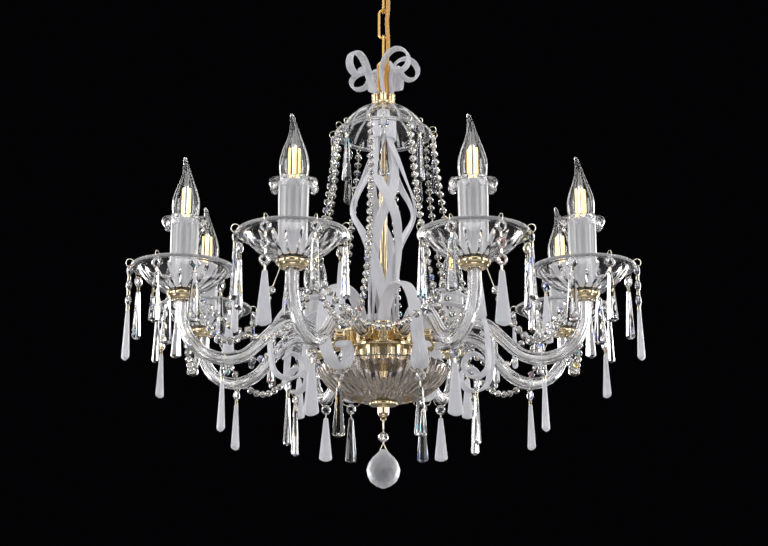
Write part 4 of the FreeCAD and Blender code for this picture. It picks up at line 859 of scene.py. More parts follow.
class CHANDELIER_OT_cord(bpy.types.Operator):
    """Amber supply cable from the terminal block down to the finial's collar"""
    bl_idname = "chandelier.cord"
    bl_label = "Supply cable"

    def execute(self, context):
        data = bpy.data.curves.new("cord_route", "CURVE")
        data.dimensions = "3D"
        data.resolution_u = 10
        spline = data.splines.new("NURBS")
        spline.points.add(len(CORD_POINTS) - 1)
        for point, spot in zip(spline.points, CORD_POINTS):
            point.co = (*[value * MM for value in spot], 1.0)
        spline.order_u = 3
        spline.use_endpoint_u = True
        route = bpy.data.objects.new("cord_route", data)
        context.scene.collection.objects.link(route)
        context.view_layer.update()
        line_mesh = bpy.data.meshes.new_from_object(route.evaluated_get(context.evaluated_depsgraph_get()))
        line = np.array([vertex.co[:] for vertex in line_mesh.vertices]) / MM
        bpy.data.objects.remove(route)
        bpy.data.meshes.remove(line_mesh)
        turned = int(np.argmin(np.abs(line[:, 2] + CORD_JOIN)))
        upper, lower = line[:turned + 1], line[turned:]
        self.lay(context, "supply_cord_top", upper, ("ceiling", "top_link"), (-0.026, -0.068))
        self.lay(context, "supply_cord", lower, ("top_link", "chandelier"), (-0.078, -0.2))
        return {"FINISHED"}

    def lay(self, context, name, line, bodies, levels):
        """One piece of the cable; its bodies and levels are not used."""
        tube = swept(line, round_section(CORD_DIAMETER / 2, 20))
        mesh = bpy.data.meshes.new(name)
        mesh.from_pydata((tube.corners() * MM).tolist(), [], tube.faces)
        mesh.materials.append(finishes["cable"])
        mesh.shade_smooth()
        mesh.set_sharp_from_angle(angle=math.radians(60))
        cord = bpy.data.objects.new(name, mesh)
        context.scene.collection.objects.link(cord)
        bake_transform(cord)
        if name == "supply_cord":
            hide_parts("supply_cable")


class CHANDELIER_OT_canopy(bpy.types.Operator):
    """Spun brass canopy that covers the ceiling strap"""
    bl_idname = "chandelier.canopy"
    bl_label = "Ceiling canopy"

    def execute(self, context):
        shell = outline(((55, 0), (55, -10.6), (54.4, -12), (18, CANOPY_FOOT, 9), (16.6, CANOPY_FOOT), (15, -41.4),
                         (15, -40.8), (18, -40.8), (53.2, -12, -9), (53.8, -10.6), (53.8, 0)), soft=0.4, steps=18)
        make_piece("canopy_shell", lathe(shell, 96), "brass", "ceiling_canopy", body="ceiling", crease=30)
        return {"FINISHED"}


# Angle of each curl's cup, direction in which it curls, height share, lean to its outer side.
CURLS = (
    (-90.0, -20.0, 1.0, 6.0),
    (-30.0, 20.0, 0.93, 2.0),
    (30.0, 75.0, 0.9, 2.0),
    (90.0, 120.0, 0.85, 2.0),
    (150.0, 160.0, 0.72, 6.0),
    (-150.0, -130.0, 0.98, 14.0),
)
CURL_CUP_RING = 12.3


class CHANDELIER_OT_finial(bpy.types.Operator):
    """Brass collar with six small cups, and the frosted curls that stand in them"""
    bl_idname = "chandelier.finial"
    bl_label = "Finial"

    def execute(self, context):
        base = outline(((STEM_HOLE, DOME_TOP), (17.2, DOME_TOP), (18, -228.2), (18, -226.6), (16, -224),
                        (8.2, -224), (8.2, COLLAR_TOP), (STEM_HOLE, COLLAR_TOP)), soft=0.5)
        collar = lathe(base, 64)
        cup = lathe(outline(((0.02, -225), (4.6, -225), (4.9, -216.6), (5.25, -216), (5.25, COLLAR_TOP),
                             (4.35, COLLAR_TOP), (4.3, -216), (4.3, -223.6), (0.02, -223.6)), soft=0.25), 28)
        collar.take(cup.copies([stand(angle, CURL_CUP_RING) for angle, *_ in CURLS]))
        make_piece("collar_cups", collar, "brass", "finial_collar")
        curls = Form()
        for angle, direction, rise, lean in CURLS:
            knots = ((0, 0, -8.8), (0, 0, -4.4), (0, 0, 0.5), (-0.05, lean * 0.03, 3.5),
                     (-0.8, lean * 0.35, 12 * rise), (-1.5, lean * 0.8, 26 * rise), (1.5, lean, 42 * rise),
                     (9, lean, 54 * rise), (20, lean, 60 * rise), (32, lean, 56 * rise), (38.5, lean, 44 * rise),
                     (35, lean, 31.5 * rise), (25, lean, 27 * rise), (16, lean, 32 * rise), (13, lean, 42 * rise))
            line = cubic_line(knots, 84)
            base_spot = polar(CURL_CUP_RING, angle, COLLAR_TOP)
            along, outer = polar(1, direction), polar(1, direction - 90)
            widths = 6.0 + 7.0 * np.clip(np.maximum.accumulate(line[:, 2]) / 34.0, 0, 1)
            spots = base_spot + line[:, :1] * along + line[:, 1:2] * outer + line[:, 2:] * UP
            curls.take(band_of_glass(spots, outer, widths, 4.0))
        make_piece("curled_ribbons", curls, "frosted", "finial_curls")
        return {"FINISHED"}


DOME_CUTS = 16
DOME_CUT_SHARE = 0.11


def dome_middle(radius):
    """Height of the middle of the dome's wall."""
    reach = np.clip((radius - 12) / 46.25, 0, 1)
    return -230.5 - 39.5 * reach + 9 * (1 - (2 * reach - 1) ** 2)


class CHANDELIER_OT_dome(bpy.types.Operator):
    """Clear top dome with fine radial cuts, and the cup below it"""
    bl_idname = "chandelier.dome"
    bl_label = "Top dome"

    def execute(self, context):
        def cuts(angle, radius, height):
            outer = height > dome_middle(radius)
            depth = groove(angle, DOME_CUTS, DOME_CUT_SHARE) * between(radius, 20, 57, 5) * 1.7 * outer
            return radius, height - depth

        shell = subdivided(outline(((STEM_HOLE, -232), (STEM_HOLE, DOME_TOP), (12, DOME_TOP), (58.25, -268.5, 9),
                                    (64.9, -268.5), (66.25, -269.6), (66.25, -270.6), (65, -271.5), (57.25, -271.5),
                                    (12, -232, -9)), soft=0.7, steps=18), 4.0)

        # Faces on the rim and along the cuts take the painted highlight finish.
        def is_highlight_edge(x, y, z):
            radius = math.hypot(x, y)
            on_cut = groove(math.atan2(y, x), DOME_CUTS, DOME_CUT_SHARE) > 0.2
            return radius > 63.5 or (on_cut and 22 < radius < 57 and z > dome_middle(radius) - 1.2)

        dome = refinish(lathe(shell, 192, cuts), 1, is_highlight_edge)
        make_piece("cut_dome", dome, "crystal edge", "top_dome", crease=24)
        cup = outline(((STEM_HOLE, -232), (9, -232), (9, -247), (16.6, -248), (17.5, -249), (17.5, -277),
                       (17.2, -278), (16.4, -278), (16.4, -251), (STEM_HOLE, -251)), soft=0.5)
        make_piece("column_head", lathe(cup, 72), "frosted", "ribbon_holder", crease=30)
        return {"FINISHED"}


COLUMN_KNOTS = ((14.7, -252.4), (14.7, -265.4), (14.9, -278.4), (19.7, -294.4), (26.76, -316.4), (34.79, -343.4),
                (44.6, -374.4), (43.04, -393.4), (33.9, -416.4), (26.76, -441.4), (21.2, -466.4), (20, -502.4),
                (20, -538.6), (20, -564.6))
BAND_TWIST = 200.0


class CHANDELIER_OT_column(bpy.types.Operator):
    """Two layers of frosted bands that wind round the centre tube"""
    bl_idname = "chandelier.column"
    bl_label = "Frosted column"

    def execute(self, context):
        profile = cubic_line([(radius, 0, height) for radius, height in COLUMN_KNOTS], 110)
        for name, inner, twist, lead in (("column_bands_outer", False, BAND_TWIST, 20.0),
                                         ("column_bands_inner", True, -BAND_TWIST, 0.0)):
            layer = Form()
            shares = np.linspace(0, 1, len(profile))
            widths = 9.0 + 4.0 * np.clip(np.minimum(shares, 1 - shares) * 5, 0, 1)
            face = profile[:, 0]
            if inner:
                face = np.sqrt((face - 3.8) ** 2 - (widths / 2) ** 2)
            for band in range(4):
                angles = np.radians(lead + 90.0 * band + twist * shares)
                ring = face - 1.5
                line = np.stack((ring * np.cos(angles), ring * np.sin(angles), profile[:, 2]), axis=-1)
                ways = np.stack((-np.sin(angles), np.cos(angles), 0 * angles), axis=-1)
                layer.take(band_of_glass(line, ways, widths, 3.0))
            make_piece(name, layer, "frosted", "column_ribbons_inner" if inner else "column_ribbons_outer")
        return {"FINISHED"}


SCROLL_CUP_RING = 40.0
SCROLL_WIDTH = 17.0


class CHANDELIER_OT_hub(bpy.types.Operator):
    """Hub plate with its beaded heart cup, the scroll cups and the arm ferrules"""
    bl_idname = "chandelier.hub"
    bl_label = "Brass hub"

    def execute(self, context):
        plate = outline(((STEM_HOLE, HUB_FOOT), (48.6, HUB_FOOT), (50, -570), (50, -567), (48.6, HUB_TOP),
                         (23, HUB_TOP), (23, -541), (23.6, -540), (23.6, -538.8), (22.6, -538), (21, -538),
                         (21, HUB_TOP), (STEM_HOLE, HUB_TOP)), soft=0.6)
        hub = lathe(plate, 96)
        make_piece("hub_plate_heart", hub, "brass", "hub_plate")

        def gadroon(angle, radius, height):
            wave = 0.5 - 0.5 * np.cos(angle * 12)
            amount = between(height, -563.5, -546.5, 2.0) * (radius > 9.3)
            return radius - 0.7 * wave * amount, height

        cup = subdivided(outline(((0.02, HUB_TOP), (9.2, HUB_TOP), (9.5, -565), (9.5, -546), (11, -544.6),
                                  (11, -541.6), (10.4, -541), (9, -541), (9, -564), (0.02, -564)), soft=0.4), 3.0)
        cups = lathe(cup, 72, gadroon).copies([stand(angle, SCROLL_CUP_RING) for angle in GAP_ANGLES])
        make_piece("scroll_cup_ring", cups, "brass", "scroll_cups")
        ring = outline(((8.15, 0), (9.2, 0), (10, 0.8), (10, 2.2), (9.3, 3), (9.3, 11), (10, 11.8), (10, 13.2),
                        (9.2, 14), (8.15, 14)), soft=0.3)
        lying = turn_about((0, 1, 0), 90)
        ferrule = Form().take(lathe(ring, 48), shift(56.0, 0, ARM_LEVEL) @ lying)
        make_piece("ferrule_rings", ferrule.copies(ARMS), "brass", "arm_ferrules")
        return {"FINISHED"}


class CHANDELIER_OT_arms(bpy.types.Operator):
    """Eight drawn glass arms with the lamp wires inside"""
    bl_idname = "chandelier.arms"
    bl_label = "Glass arms"

    def execute(self, context):
        sizes = context.scene.chandelier_sizes
        line, _ = arm_line()
        steps = sizes.rib_count * 6
        turns = np.arange(steps) * 2 * math.pi / steps
        depth = sizes.rib_depth / MM
        reach = ARM_RADIUS - depth * (0.5 - 0.5 * np.cos(turns * sizes.rib_count))
        outside = np.stack((reach * np.cos(turns), reach * np.sin(turns)), axis=-1)
        inside = round_section(ARM_BORE, steps)
        skin, bore = swept(line, outside, across=ACROSS), swept(line, inside, across=ACROSS)
        tube = Form().add(np.concatenate((skin.corners(), bore.corners().reshape(len(line), steps, 3)[::-1]
                                          .reshape(-1, 3))), grid_faces(2 * len(line), steps, wrap_rows=True))
        wires = Form()
        for side, lift in ((-1.6, 0.6), (1.5, -0.8)):
            normal = np.cross(unit(np.gradient(line, axis=0)), ACROSS)
            wires.take(swept(line + ACROSS * side + normal * lift, round_section(1.1), across=ACROSS))
        for number, arm in enumerate(ARMS, start=1):
            make_piece("glass_arm_%d" % number, tube.copies([arm]), "ribbed", "arm_%d" % number, crease=50)
        make_piece("arm_wires", wires.copies(ARMS), "wire")
        return {"FINISHED"}


# Eyes on a light's cup: their distance from its middle, their depth below its top, their turns.
EYE_REACH = 20.4
EYE_DROP = 2.5
SWAG_TURN = 112.5
STRAND_TURN = 160.0


class CHANDELIER_OT_dishes(bpy.types.Operator):
    """Cut glass dishes on their brass cups"""
    bl_idname = "chandelier.dishes"
    bl_label = "Dishes"

    def execute(self, context):
        sizes = context.scene.chandelier_sizes
        cup = outline(((0.02, ARM_END), (8.15, ARM_END), (8.15, CUP_FOOT), (10, CUP_FOOT), (10.2, -528),
                       (17, ARM_END, -2), (18.2, -523.6), (19, -522.8), (19, -520.4), (18.2, CUP_TOP),
                       (4.4, CUP_TOP), (4.4, -512), (0.02, -512)), soft=0.3, steps=8)
        eyes = Form()
        for turn in (SWAG_TURN, -SWAG_TURN, STRAND_TURN):
            eyes.take(wire_ring(1.6, PIN, polar(EYE_REACH, turn, CUP_TOP - EYE_DROP), UP, steps=14))
        cups = lathe(cup, 56).take(eyes)
        make_piece("light_cups", cups.copies(LIGHTS), "brass", "dish_cups")

        def cuts(angle, radius, height):
            reach = np.clip((radius - 19) / 36.5, 0, 1)
            middle = -517 + 29.3 * reach - 5 * (1 - (2 * reach - 1) ** 2)
            outer = height < middle
            lens = np.sin(math.pi * np.clip((radius - 19) / 37.0, 0, 1)) ** 0.6
            depth = groove(angle, sizes.dish_cuts, 0.17) * between(radius, 20, 55.5, 3) * lens * 2.3 * outer
            return radius, height + depth

        shell = subdivided(outline(((5, CUP_TOP), (19, CUP_TOP), (56, -489.7, -5), (64, -489.7), (65, -488.7),
                                    (65, -486.7), (64, -485.7), (55, -485.7), (19, SLEEVE_FOOT, 5), (5, SLEEVE_FOOT)),
                                   soft=1.0, steps=14), 4.5)
        # The dish rims take the painted highlight finish.
        dish = refinish(lathe(shell, sizes.dish_cuts * 10, cuts), 1, lambda x, y, z: math.hypot(x, y) > 63.0)
        make_piece("cut_dishes", dish.copies(LIGHTS), "crystal edge", "dishes", crease=24)
        return {"FINISHED"}


class CHANDELIER_OT_candles(bpy.types.Operator):
    """White candle sleeves with clear petal rings at their tops"""
    bl_idname = "chandelier.candles"
    bl_label = "Candles"

    def execute(self, context):
        sizes = context.scene.chandelier_sizes
        sleeve = subdivided(outline(((15, SLEEVE_FOOT), (16.5, SLEEVE_FOOT), (18, SLEEVE_TOP), (16.5, SLEEVE_TOP)),
                                     soft=0.5), 12.0)
        make_piece("sleeve_tubes", lathe(sleeve, 56).copies(LIGHTS), "sleeve", "candle_sleeves", crease=40)

        lip = cubic_line(((15.8, 0, -424.9), (18.5, 0, -424.6), (22.5, 0, -422.8), (27, 0, -423.6), (29.4, 0, -428),
                          (28, 0, -434), (24, 0, -436.8), (21.4, 0, -434.6)), 30)[:, (0, 2)]
        way = np.gradient(lip, axis=0)
        side = np.stack((-way[:, 1], way[:, 0]), axis=-1)
        side = 0.5 * side / np.linalg.norm(side, axis=1)[:, None]
        section = [*(lip + side)[::-1], *(lip - side)]

        def petals(angle, radius, height):
            petal = np.abs(np.cos(angle * sizes.petal_count / 2)) ** 1.5
            reach = np.clip(radius - 19, 0, None)
            low = np.clip(-424.6 - height, 0, None)
            return radius - reach * 0.8 * (1 - petal), height + low * 0.9 * (1 - petal)

        make_piece("petal_rings", lathe(section, sizes.petal_count * 12, petals).copies(LIGHTS), "crystal",
                   "drip_rings", crease=60)
        return {"FINISHED"}


BULB_ROWS = ((0.0, 6.4), (0.04, 6.5), (0.08, 7.0), (0.12, 11.0), (0.16, 14.6), (0.21, 16.2), (0.26, 17.0),
             (0.33, 17.5), (0.42, 16.8), (0.49, 15.1), (0.56, 12.95), (0.63, 10.3), (0.7, 7.9), (0.77, 6.0),
             (0.84, 4.5), (0.9, 3.4), (0.94, 2.75), (0.97, 2.2), (0.99, 1.4), (1.0, 0.06))
BULB_HEIGHT = 99.0
BENT_TIP = 34.0
FILAMENTS = 4


class CHANDELIER_OT_bulbs(bpy.types.Operator):
    """Clear flame-tip bulbs with upright filaments and screw caps"""
    bl_idname = "chandelier.bulbs"
    bl_label = "Bulbs"

    def execute(self, context):
        sizes = context.scene.chandelier_sizes
        foot = BULB_TIP - BULB_HEIGHT
        rows = cubic_line([(radius, 0, foot + BULB_HEIGHT * share) for share, radius in BULB_ROWS], 60)
        outer = [np.array((max(spot[0], 0.06), spot[2])) for spot in rows]
        inner = [np.array((max(spot[0] - 0.9, 0.06), spot[1] - (1.2 if spot[0] < 3 else 0.0)))
                 for spot in outer[::-1] if spot[1] < BULB_TIP - 2.0]
        envelope = lathe(outer + inner, 48)
        points = envelope.corners()
        lean = np.clip((points[:, 2] - BULB_TIP) / BENT_TIP + 1, 0, 1) ** 2 * sizes.tip_bend / MM
        thread = [(0.02, -461), (2.5, -461), (5, -458), (6.6, -457)]
        thread += [(6.95 if step % 2 else 6.3, -456.4 + 0.85 * step) for step in range(22)]
        thread += [(6.6, -437), (6.9, -435.2), (6.4, -435), (6.0, HOLDER_TOP), (0.02, HOLDER_TOP)]
        cap = lathe([np.array(spot, float) for spot in thread], 36)
        strips, frame_wires = Form(), Form()
        for number in range(FILAMENTS):
            turn = 360.0 / FILAMENTS * number + 35.0
            strips.take(rod(polar(6.0, turn, -421.5), polar(5.6, turn, -384.0), 1.4, sides=10))
            frame_wires.take(rod(polar(3.0, turn, -430.0), polar(6.0, turn, -421.0), 0.3, sides=6))
            frame_wires.take(rod(polar(5.6, turn, -384.5), polar(2.0, turn, -380.5), 0.3, sides=6))
        frame_wires.take(wire_ring(2.0, 0.35, (0, 0, -380.5), UP))
        stem = lathe(outline(((0.05, HOLDER_TOP), (4.6, HOLDER_TOP), (2.6, -428), (2.2, -424), (2.6, -380),
                              (1.0, -378.6), (0.05, -378.6)), soft=0.5), 20)
        for number, angle in enumerate(ARM_ANGLES, start=1):
            turned_lean = np.stack((-lean * math.cos(math.radians(angle)), lean * math.sin(math.radians(angle)),
                                    0 * lean), axis=-1)
            glass = Form().add(points + turned_lean, envelope.faces)
            place = [stand(angle, CANDLE_RING)]
            body = "bulb_%d" % number
            make_piece("bulb_glass_%d" % number, glass.copies(place), "bulb", body, body=body, crease=70)
            make_piece("bulb_cap_%d" % number, cap.copies(place), "brass", body=body, crease=50)
            make_piece("bulb_filaments_%d" % number, strips.copies(place), "glow", body=body, crease=50)
            make_piece("bulb_frame_%d" % number, frame_wires.copies(place), "silver", body=body)
            make_piece("bulb_stem_%d" % number, stem.copies(place), "bulb", body=body)
        return {"FINISHED"}


BALL_ROWS = ((1.3, 0.2), (1.12, 0.34), (0.84, 0.64), (0.5, 0.89), (0.1, 1.0), (-0.3, 0.95), (-0.62, 0.76),
             (-0.86, 0.44), (-1.0, 0.08))
BALL_RADIUS = 21.5
BALL_SIDES = 12


class CHANDELIER_OT_bowl(bpy.types.Operator):
    """Fluted bottom bowl, its brass finial and the frosted ball drop"""
    bl_idname = "chandelier.bowl"
    bl_label = "Bowl and ball"

    def execute(self, context):
        flutes = context.scene.chandelier_sizes.bowl_flutes

        def fluted(angle, radius, height):
            reach = np.clip((radius - 22) / 63.5, 0, 1)
            middle = -635.1 + 42.1 * reach - 12 * (1 - (2 * reach - 1) ** 2) * 0.85
            outer = height < middle
            wave = np.abs(np.cos(angle * flutes / 2))
            depth = (1 - wave) * 3.6 * np.clip((radius - 16) / 20, 0, 1)
            lift = depth * outer
            return radius - lift * 0.55, height + lift * 0.8

        shell = subdivided(outline(((STEM_HOLE, BOWL_BASE), (22, BOWL_BASE), (88, -593.8, -12), (87, BOWL_RIM),
                                    (84, BOWL_RIM), (22, -632.6, 12), (STEM_HOLE, -632.6)), soft=0.8, steps=18),
                                    5.0)
        make_piece("fluted_bowl", lathe(shell, flutes * 8, fluted), "bowl", "bottom_bowl", crease=30)
        knob = outline(((0.02, NUT_FOOT), (5, NUT_FOOT), (6.4, -655.6), (7.5, -652.6), (7.5, -645), (8.6, -643.4),
                        (17.4, -642.6), (18.5, -641.6), (18.5, -638.6), (17.6, BOWL_BASE), (STEM_HOLE, BOWL_BASE),
                        (STEM_HOLE, -648), (0.02, -648)), soft=0.5)
        finial = lathe(knob, 72)
        finial.take(wire_ring(3.0, 0.8, (0, 0, -659.3), (0, 1, 0), steps=28, sides=8))
        for side in (-1, 1):
            finial.take(rod((5.4 * side, 0, -654.5), (1.0 * side, 0, -661.0), 0.7))
        make_piece("bottom_knob", finial, "brass", "bottom_finial")
        sections = []
        for number, (height, width) in enumerate(BALL_ROWS):
            turns = (np.arange(BALL_SIDES) + 0.5 * (number % 2)) * 2 * math.pi / BALL_SIDES
            ring = BALL_RADIUS * width
            sections.append(np.stack((ring * np.cos(turns), ring * np.sin(turns),
                                      np.full(BALL_SIDES, BALL_MIDDLE + BALL_RADIUS * height)), axis=-1))
        faces = staggered_faces(len(sections), BALL_SIDES, [number % 2 for number in range(len(sections))])
        ball = Form().add(np.concatenate(sections), faces)
        make_piece("frosted_ball", ball, "ball", "ball_drop", body="ball_drop", flat=True)
        make_piece("ball_bead", cut_bead(7.0, (0, 1, 0), np.array((0, 0, -683.2)), sides=8), "bead", body="ball_drop",
                   flat=True)
        hanger = oval_wire(16.0, 7.0, 0.8, (0, 0, -659.65), way=(0, 1, 0), sides=8)
        hanger.take(rod((0, 0, -675), (0, 0, -692), 0.7))
        for side in (-1, 1):
            hanger.take(rod((0, 0, -690.5), (4.4 * side, 0, -700.0), 0.6))
            hanger.take(rod((4.4 * side, 0, -700.0), (3.2 * side, 0, -703.0), 0.6))
        make_piece("ball_wires", hanger, "silver", body="ball_drop")
        return {"FINISHED"}


def scroll_line():
    """Centre line of a scroll beside its arm: X outwards, Y across the arm, Z up."""
    cup = polar(SCROLL_CUP_RING, -HALF_GAP)
    foot = HUB_TOP + 3.0
    clear = -(ARM_RADIUS + SCROLL_WIDTH / 2 + 2.0)
    loop_x, loop_z = ARM_CREST + 6, BOWL_RIM - 4
    knots = ((cup[0], cup[1], foot), (cup[0], cup[1], foot + 12), (cup[0] + 0.3, cup[1], foot + 24),
             (cup[0] + 9, cup[1] - 0.6, foot + 42), (cup[0] + 27, cup[1] - 1.6, foot + 56),
             (ARM_CREST - 31, clear, foot + 60), (ARM_CREST - 10, clear, foot + 55),
             (ARM_CREST + 10, clear, foot + 40), (ARM_CREST + 23, clear, foot + 18),
             (ARM_CREST + 27.5, clear, foot - 4), (loop_x + 20.5, clear + 4, loop_z + 6),
             (loop_x + 17.5, clear + 9, loop_z - 9.5), (loop_x + 4, clear + 13, loop_z - 18.2),
             (loop_x - 11, clear + 16, loop_z - 14), (loop_x - 16.5, clear + 17.5, loop_z - 1),
             (loop_x - 10, clear + 18, loop_z + 10.5), (loop_x + 1.5, clear + 18, loop_z + 12.5),
             (loop_x + 9, clear + 18, loop_z + 5))
    return cubic_line(knots, 150)


class CHANDELIER_OT_scrolls(bpy.types.Operator):
    """Frosted scrolls that rise from the hub and curl under beside each arm"""
    bl_idname = "chandelier.scrolls"
    bl_label = "Frosted scrolls"

    def execute(self, context):
        scroll = band_of_glass(scroll_line(), ACROSS, SCROLL_WIDTH, 4.0)
        make_piece("scroll_ribbons", scroll.copies(ARMS), "frosted",
                   "frosted_scrolls")
        return {"FINISHED"}


class CHANDELIER_OT_garlands(bpy.types.Operator):
    """Garlands of cut beads between the lights and up to the dome"""
    bl_idname = "chandelier.garlands"
    bl_label = "Garlands"

    def execute(self, context):
        chord = 2 * CANDLE_RING * math.sin(math.radians(HALF_GAP))
        top, sag = CUP_TOP - EYE_DROP, 74.0
        half = chord / 2 - EYE_REACH
        share = 0.075 + 0.85 * np.linspace(0, 1, 301)
        along = half * (2 * share - 1)
        line = np.stack((0 * along, along, top - sag * (1 - (along / half) ** 2)), axis=-1)
        beads, wires = threaded(line, (0, -half, top), (0, half, top))
        middle = CANDLE_RING * math.cos(math.radians(HALF_GAP))
        places = [stand(angle + HALF_GAP, middle) for angle in ARM_ANGLES]
        make_piece("swag_beads", beads.copies(places), "bead", "swag_strands", flat=True)
        make_piece("swag_wires", wires.copies(places), "silver")
        turn = turn_about(UP, 8.0)[:3, :3]
        ring_spot = turn @ np.array((68.25, 0, -270.0))
        start = ring_spot - UP * RING_RADIUS
        out = polar(1, STRAND_TURN)
        cup_middle = np.array((CANDLE_RING, 0, top))
        end, last = cup_middle + out * EYE_REACH, cup_middle + out * 26 - UP * 7
        controls = (start - UP * 6, np.array((95, 26, -600.0)), np.array((172, 29, -612.0)), last)
        s = np.linspace(0, 1, 401)[:, None]
        line = ((1 - s) ** 3 * controls[0] + 3 * (1 - s) ** 2 * s * controls[1]
                + 3 * (1 - s) * s * s * controls[2] + s ** 3 * controls[3])
        beads, wires = threaded(line, start, end)
        wires.take(wire_ring(RING_RADIUS, PIN, ring_spot, turn @ np.array((0.0, 1.0, 0.0))))
        make_piece("dome_garland_beads", beads.copies(ARMS), "bead", "dome_strands", flat=True)
        make_piece("dome_garland_wires", wires.copies(ARMS), "silver")
        return {"FINISHED"}


DISH_HANG = (67.0, 0.0, -492.7)
DOME_HANG = (68.25, 0.0, -275.0)
CLEAR_FOOT = 16.0
FROSTED_FOOT = 19.0


class CHANDELIER_OT_drops(bpy.types.Operator):
    """Hanging drops under the dishes, the dome, the arms and the scrolls"""
    bl_idname = "chandelier.drops"
    bl_label = "Hanging drops"

    def execute(self, context):
        wires, beads, clear, frosted = Form(), Form(), Form(), Form()

        def hang_up(drop, place, is_frosted):
            wires.take(drop[0], place)
            beads.take(drop[1], place)
            (frosted if is_frosted else clear).take(drop[2], place)

        _, arm_low = arm_line()
        under_dish = chained_drop(DISH_HANG, 1, CLEAR_FOOT)
        under_dish_frosted = chained_drop(DISH_HANG, 1, FROSTED_FOOT)
        under_dome = chained_drop(DOME_HANG, 1, CLEAR_FOOT)
        arm_spot = np.array((ARM_LOW, 0, arm_low))
        under_arm = chained_drop(arm_spot - UP * 11.9, 1, FROSTED_FOOT, ring=False)
        under_arm[0].take(wire_ring(10.2, PIN, arm_spot - UP * 1.7, (1, 0, 0), steps=32))
        line = scroll_line()
        band_middle = line[np.argmin(line[:, 2])] - UP * 1.9
        under_scroll = chained_drop(band_middle - UP * 4.55, 1, CLEAR_FOOT, ring=False)
        loop = oval_wire(26.0, 10.0, PIN, (0, 0, 13.0), way=(1, 0, 0))
        under_scroll[0].take(loop, shift(*band_middle) @ turn_about(UP, 90) @ turn_about((0, 1, 0), 90))
        for arm, light in zip(ARMS, LIGHTS):
            for turn in (48.0, -48.0, 88.0, -88.0, 150.0, -150.0):
                is_frosted = turn == 150.0
                hang_up(under_dish_frosted if is_frosted else under_dish, light @ turn_about(UP, turn), is_frosted)
            hang_up(under_arm, arm, True)
            hang_up(under_scroll, arm, False)
        for gap in GAPS:
            hang_up(under_dome, gap, False)
        make_piece("drop_wires", wires, "silver")
        make_piece("drop_octagons", beads, "cut", "drop_beads", flat=True)
        make_piece("drop_prisms", clear, "cut", "clear_prisms", flat=True)
        make_piece("drop_prisms_frosted", frosted, "frosted", "frosted_prisms", flat=True)
        outer = chained_drop(DISH_HANG, 3, FROSTED_FOOT)
        for number, light in enumerate(LIGHTS, start=1):
            body = "outer_drop_%d" % number
            make_piece("outer_prism_%d" % number, outer[2].copies([light]), "frosted", body, body=body, flat=True)
            make_piece("outer_beads_%d" % number, outer[1].copies([light]), "cut", body=body,
                       flat=True)
            make_piece("outer_wires_%d" % number, outer[0].copies([light]), "silver", body=body)
        return {"FINISHED"}


KEPT_NODES = {
    "ceiling_plate": "steel", "ceiling_hook": "gold", "canopy_screws": "brass", "terminal_block": "terminal",
    "chain_link_1": "gold", "chain_link_2": "gold", "chain_link_3": "gold", "top_loop": "gold",
    "center_stem": "brass", "hub_drum": "brass", "arm_sockets": "brass", "lampholders": "socket",
}


class CHANDELIER_OT_kept_nodes(bpy.types.Operator):
    """Finishes for the frame's own parts that keep their shape"""
    bl_idname = "chandelier.kept_nodes"
    bl_label = "Frame finishes"

    def execute(self, context):
        for name, finish in KEPT_NODES.items():
            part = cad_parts[name]
            part.data.materials.clear()
            part.data.materials.append(finishes[finish])
            part.data.shade_smooth()
            part.data.set_sharp_from_angle(angle=math.radians(35))
        return {"FINISHED"}


FLOOR_LEVEL = -2.3
FLOOR_REACH = 80.0


def area_lamp(name, place, aim, size, power, colour=(1.0, 1.0, 1.0)):
    data = bpy.data.lights.new(name, "AREA")
    data.shape = "RECTANGLE"
    data.size, data.size_y = size
    data.energy = power
    data.color = colour
    lamp = bpy.data.objects.new(name, data)
    lamp.location = place
    lamp.rotation_euler = (Vector(aim) - Vector(place)).to_track_quat("-Z", "Y").to_euler()
    lamp.visible_camera = False
    bpy.context.scene.collection.objects.link(lamp)
    return lamp


